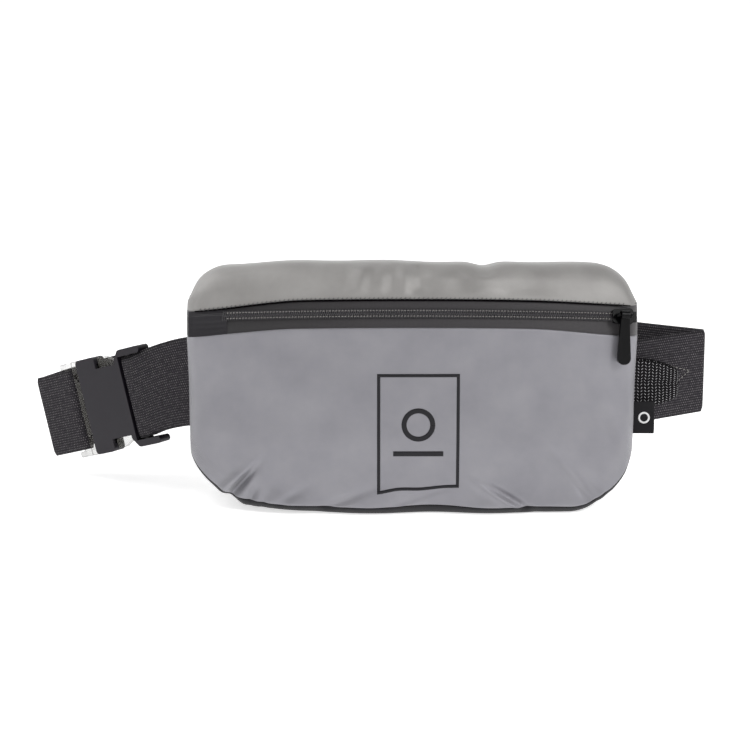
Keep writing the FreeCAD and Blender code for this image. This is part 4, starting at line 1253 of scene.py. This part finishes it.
@dataclass
class LeftStrap:
    """Short elastic strap, doubled round the female half's bar."""
    axes: BuckleAxes
    width: float = 50 * MM
    seam_width: float = 53 * MM
    seam: Array = field(default_factory=lambda: vec(-127.2, 25.0, 68.3) * MM)
    bar_middle: float = -39 * MM
    layer: float = 3.6 * MM
    thick: float = 1.6 * MM
    half_gap: float = 1.1 * MM
    bow: float = 1.6 * MM
    wrap_start: float = 3 * MM
    wrap_reach: float = 4.2 * MM

    def build(self, finishes: Finishes) -> None:
        """Front layer from the seam, round the bar in the slot, and the rear layer back to the seam."""
        a = self.axes
        t = np.linspace(0, 1, 22)
        ease = smooth(t)[:, None]
        bar_front = a.at(0, self.bar_middle - self.wrap_start, self.layer)
        bar_rear = a.at(0, self.bar_middle - self.wrap_start, -self.layer)
        lift = vec(0, 0, self.bow) * np.sin(t * math.pi)[:, None]
        up = unit(vec(0, 0, 1) * (1 - ease) + a.w * ease)
        gap = vec(0, self.half_gap, 0)
        front = self.seam - gap + (bar_front - self.seam + gap) * t[:, None] + lift
        rear = self.seam + gap + (bar_rear - self.seam - gap) * t[:, None] + lift
        around = np.linspace(0, math.pi, 18)[:, None]
        bar = a.at(0, self.bar_middle, 0)
        level = np.sign(np.cos(around)) * np.abs(np.cos(around)) ** 0.45
        wrap = bar + a.n * self.layer * level + a.u * self.wrap_reach * np.sin(around) ** 0.45
        wrap_out = unit(a.n * level + a.u * np.sin(around))
        centre = np.vstack([front, wrap, rear[::-1]])
        side_front = rows_of(a.n, len(front))
        side = np.vstack([side_front, wrap_out, -side_front])
        ups = np.vstack([up, rows_of(a.w, len(wrap)), up[::-1]])
        wide = self.seam_width + (self.width - self.seam_width) * smooth(t)
        width = np.concatenate([wide, np.full(len(wrap), self.width), wide[::-1]])
        piece = band_surface(centre, unit(side), ups, width, self.thick, "left_strap")
        dress(piece, finishes.webbing, "bag")
        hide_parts("strap_left")


# ---------------------------------------------------------------- side loop, label and print
@dataclass
class SideTrim:
    """Doubled herringbone loop and woven label in the right seam."""
    loop_x: float = 127.0 * MM
    reach: float = 28.0 * MM
    front_y: float = 13.0 * MM
    gap: float = 8.0 * MM
    middle_z: float = 68.55 * MM
    tall: float = 28.0 * MM
    thick: float = 1.3 * MM

    def build(self, finishes: Finishes) -> None:
        """Makes the loop with its pinched crease, and the label with a plain ring woven in."""
        turn = np.linspace(0, math.pi, 14)[:, None]
        radius = self.gap / 2
        pivot = vec(self.loop_x + self.reach + 1 * MM - radius, self.front_y + radius, self.middle_z)
        start = vec(self.loop_x, self.front_y, self.middle_z)
        front = np.linspace(start, pivot - vec(0, radius, 0), 22)[:-1]
        bend = pivot + vec(1, 0, 0) * np.sin(turn) * radius - vec(0, 1, 0) * np.cos(turn) * radius
        rear = np.linspace(pivot + vec(0, radius, 0), start + vec(0, self.gap, 0), 22)[1:]
        centre = np.vstack([front, bend, rear])
        out_bend = vec(1, 0, 0) * np.sin(turn) - vec(0, 1, 0) * np.cos(turn)
        side = np.vstack([rows_of(vec(0, -1, 0), len(front)), out_bend,
                          rows_of(vec(0, 1, 0), len(rear))])
        up = rows_of(vec(0, 0, 1), len(centre))
        piece = band_surface(centre, side, up, np.full(len(centre), self.tall), self.thick, "side_loop")
        points = np.empty(len(piece.data.vertices) * 3, np.float32)
        piece.data.vertices.foreach_get("co", points)
        points = points.reshape(-1, 3)
        crease = np.exp(-((points[:, 2] - self.middle_z) / (2.2 * MM)) ** 2)
        away = smooth((points[:, 0] - self.loop_x) / (6 * MM))
        tip = np.clip((points[:, 0] - self.loop_x) / self.reach, 0, 1.1) ** 2.6
        points[:, 2] = self.middle_z + (points[:, 2] - self.middle_z) * (1 - 0.42 * tip)
        front_layer = points[:, 1] < self.front_y + radius
        points[:, 1] += np.where(front_layer, 1.9, -0.6) * MM * crease * away
        piece.data.vertices.foreach_set("co", points.ravel())
        dress(piece, finishes.herringbone, "bag")
        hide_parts("side_pull_loop")
        self.label(finishes)

    def label_y(self, x: Array, z: Array) -> Array:
        """The label's middle surface, waved more and more towards its free edge."""
        low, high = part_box("woven_label")
        share = (x - low.x) / (high.x - low.x)
        return (low.y + high.y) / 2 + 0.6 * MM * np.sin(z / (4 * MM)) * share ** 2

    def label(self, finishes: Finishes) -> None:
        """A folded satin label with a plain ring."""
        low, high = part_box("woven_label")
        x = np.linspace(low.x - 0.6 * MM, high.x, 14)
        z = np.linspace(low.z, high.z, 20)
        xx, zz = np.meshgrid(x, z)
        piece = grid_object("label", np.stack([xx, self.label_y(xx, zz), zz], -1))
        finish_mesh(piece, 0.7 * MM, levels=1, offset=0.0)
        dress(piece, finishes.label, "bag")
        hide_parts("woven_label")
        turn = np.linspace(0, 2 * math.pi, 41)[:, None]
        ring = np.linspace(2.3, 3.4, 3)[None] * MM
        cx, cz = (low.x + high.x) / 2 + 0.6 * MM, (low.z + high.z) / 2
        xs = cx + ring * np.cos(turn)
        zs = cz + ring * np.sin(turn)
        ys = self.label_y(xs, zs) - 0.42 * MM
        mark = grid_object("label_ring", np.stack([xs, ys, zs], -1), flip=True)
        finish_mesh(mark, 0.12 * MM)
        dress(mark, finishes.white_thread, "bag")


@dataclass
class Print:
    """Heat-pressed film on the front: an upright outline with a plain ring and bar inside."""
    shape: PouchShape
    width: float = 46.0 * MM
    height: float = 65.0 * MM
    line: float = 1.7 * MM
    centre: float = 3.2 * MM
    foot: float = 16.8 * MM
    laid_from: float = -0.06

    def project(self, piece: bpy.types.Object, target: bpy.types.Object) -> None:
        """Lays a flat film on the front panel, a hair proud of it."""
        wrap = piece.modifiers.new("lay", "SHRINKWRAP")
        wrap.wrap_method = "PROJECT"
        wrap.wrap_mode = "ABOVE_SURFACE"
        wrap.use_project_y = True
        wrap.use_positive_direction = True
        wrap.use_negative_direction = False
        wrap.target = target
        wrap.offset = 0.12 * MM
        bpy.context.view_layer.update()
        settle(piece)
        for polygon in piece.data.polygons:
            polygon.use_smooth = True

    def bars(self) -> tuple[Array, Array]:
        """Points and quads of the outline's four bars, each a fine strip, in front of the panel."""
        left, right = self.centre - self.width / 2, self.centre + self.width / 2
        low, high = self.foot, self.foot + self.height
        strips = [((left, low), (right, low + self.line)), ((left, high - self.line), (right, high)),
                  ((left, low + self.line), (left + self.line, high - self.line)),
                  ((right - self.line, low + self.line), (right, high - self.line))]
        points, faces, base = [], [], 0
        for (x0, z0), (x1, z1) in strips:
            cols = max(3, int((x1 - x0) / (0.8 * MM)))
            rows = max(3, int((z1 - z0) / (0.8 * MM)))
            xx, zz = np.meshgrid(np.linspace(x0, x1, cols), np.linspace(z0, z1, rows))
            points.append(np.stack([xx, np.full_like(xx, self.laid_from), zz], -1).reshape(-1, 3))
            faces.append(grid_faces(rows, cols) + base)
            base += rows * cols
        laid = np.vstack(points)
        across = (right - laid[:, 0]) / self.width
        slack = 1 - smooth((laid[:, 2] - low) / (14 * MM))
        laid[:, 2] -= slack * (3.2 * across ** 1.3 - 0.7 * np.sin(across * 11) * across) * MM
        return laid, np.vstack(faces)

    def build(self, finishes: Finishes) -> None:
        """Makes the outline and the generic mark, and lays both on the panel."""
        target = bpy.data.objects["front_skin"]
        points, faces = self.bars()
        outline = mesh_object("print_outline", points, faces)
        turn = np.linspace(0, 2 * math.pi, 73)[:, None]
        ring = np.linspace(6.6, 9.4, 5)[None] * MM
        middle = self.foot + self.height * 0.56
        grid = np.stack([self.centre + ring * np.cos(turn), np.full((73, 5), self.laid_from),
                         middle + ring * np.sin(turn)], -1)
        mark = grid_object("print_ring", grid, flip=True)
        xx, zz = np.meshgrid(np.linspace(-14, 14, 36) * MM + self.centre,
                             np.linspace(-1.4, 1.4, 5) * MM + middle - 16.5 * MM)
        bar = grid_object("print_bar", np.stack([xx, np.full_like(xx, self.laid_from), zz], -1))
        for piece in (outline, mark, bar):
            self.project(piece, target)
            finish_mesh(piece, 0.1 * MM, offset=1.0)
            dress(piece, finishes.film, "bag")
        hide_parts("printed_frame")


def main() -> None:
    """Builds the studio and then the bag, piece by piece."""
    logging.basicConfig(level=logging.INFO, format="%(message)s")
    finishes = Finishes()
    Studio().build(finishes)
    shape = PouchShape()
    Shell(shape).build(finishes)
    Zip(shape).build(finishes)
    axes = BuckleAxes()
    Belt(axes).build(finishes)
    LeftStrap(axes).build(finishes)
    SideTrim().build(finishes)
    Print(shape).build(finishes)
    hard = [("buckle_female", "buckle_socket_half", "bag", "buckle_black", 0.7, finishes.acetal),
            ("buckle_male", "buckle_clear_half", "male_half", "buckle_clear", 0.5, finishes.clear),
            ("latch_arm_upper", "latch_upper", "upper_latch", "buckle_clear", 0.5, finishes.clear),
            ("latch_arm_lower", "latch_lower", "lower_latch", "buckle_clear", 0.5, finishes.clear),
            ("slider_body", "slider_casting", "slider", "slider_metal", 0.35, finishes.enamel),
            ("zip_pull", "pull_tongue", "pull", "pull_plastic", 0.45, finishes.rubber)]
    for *names, edge, material in hard:
        SoftenedNode(*names, edge * MM).build(material)
    paint(frame["nodes"]["slider_crown"], finishes.enamel)


if __name__ == "__main__":
    main()
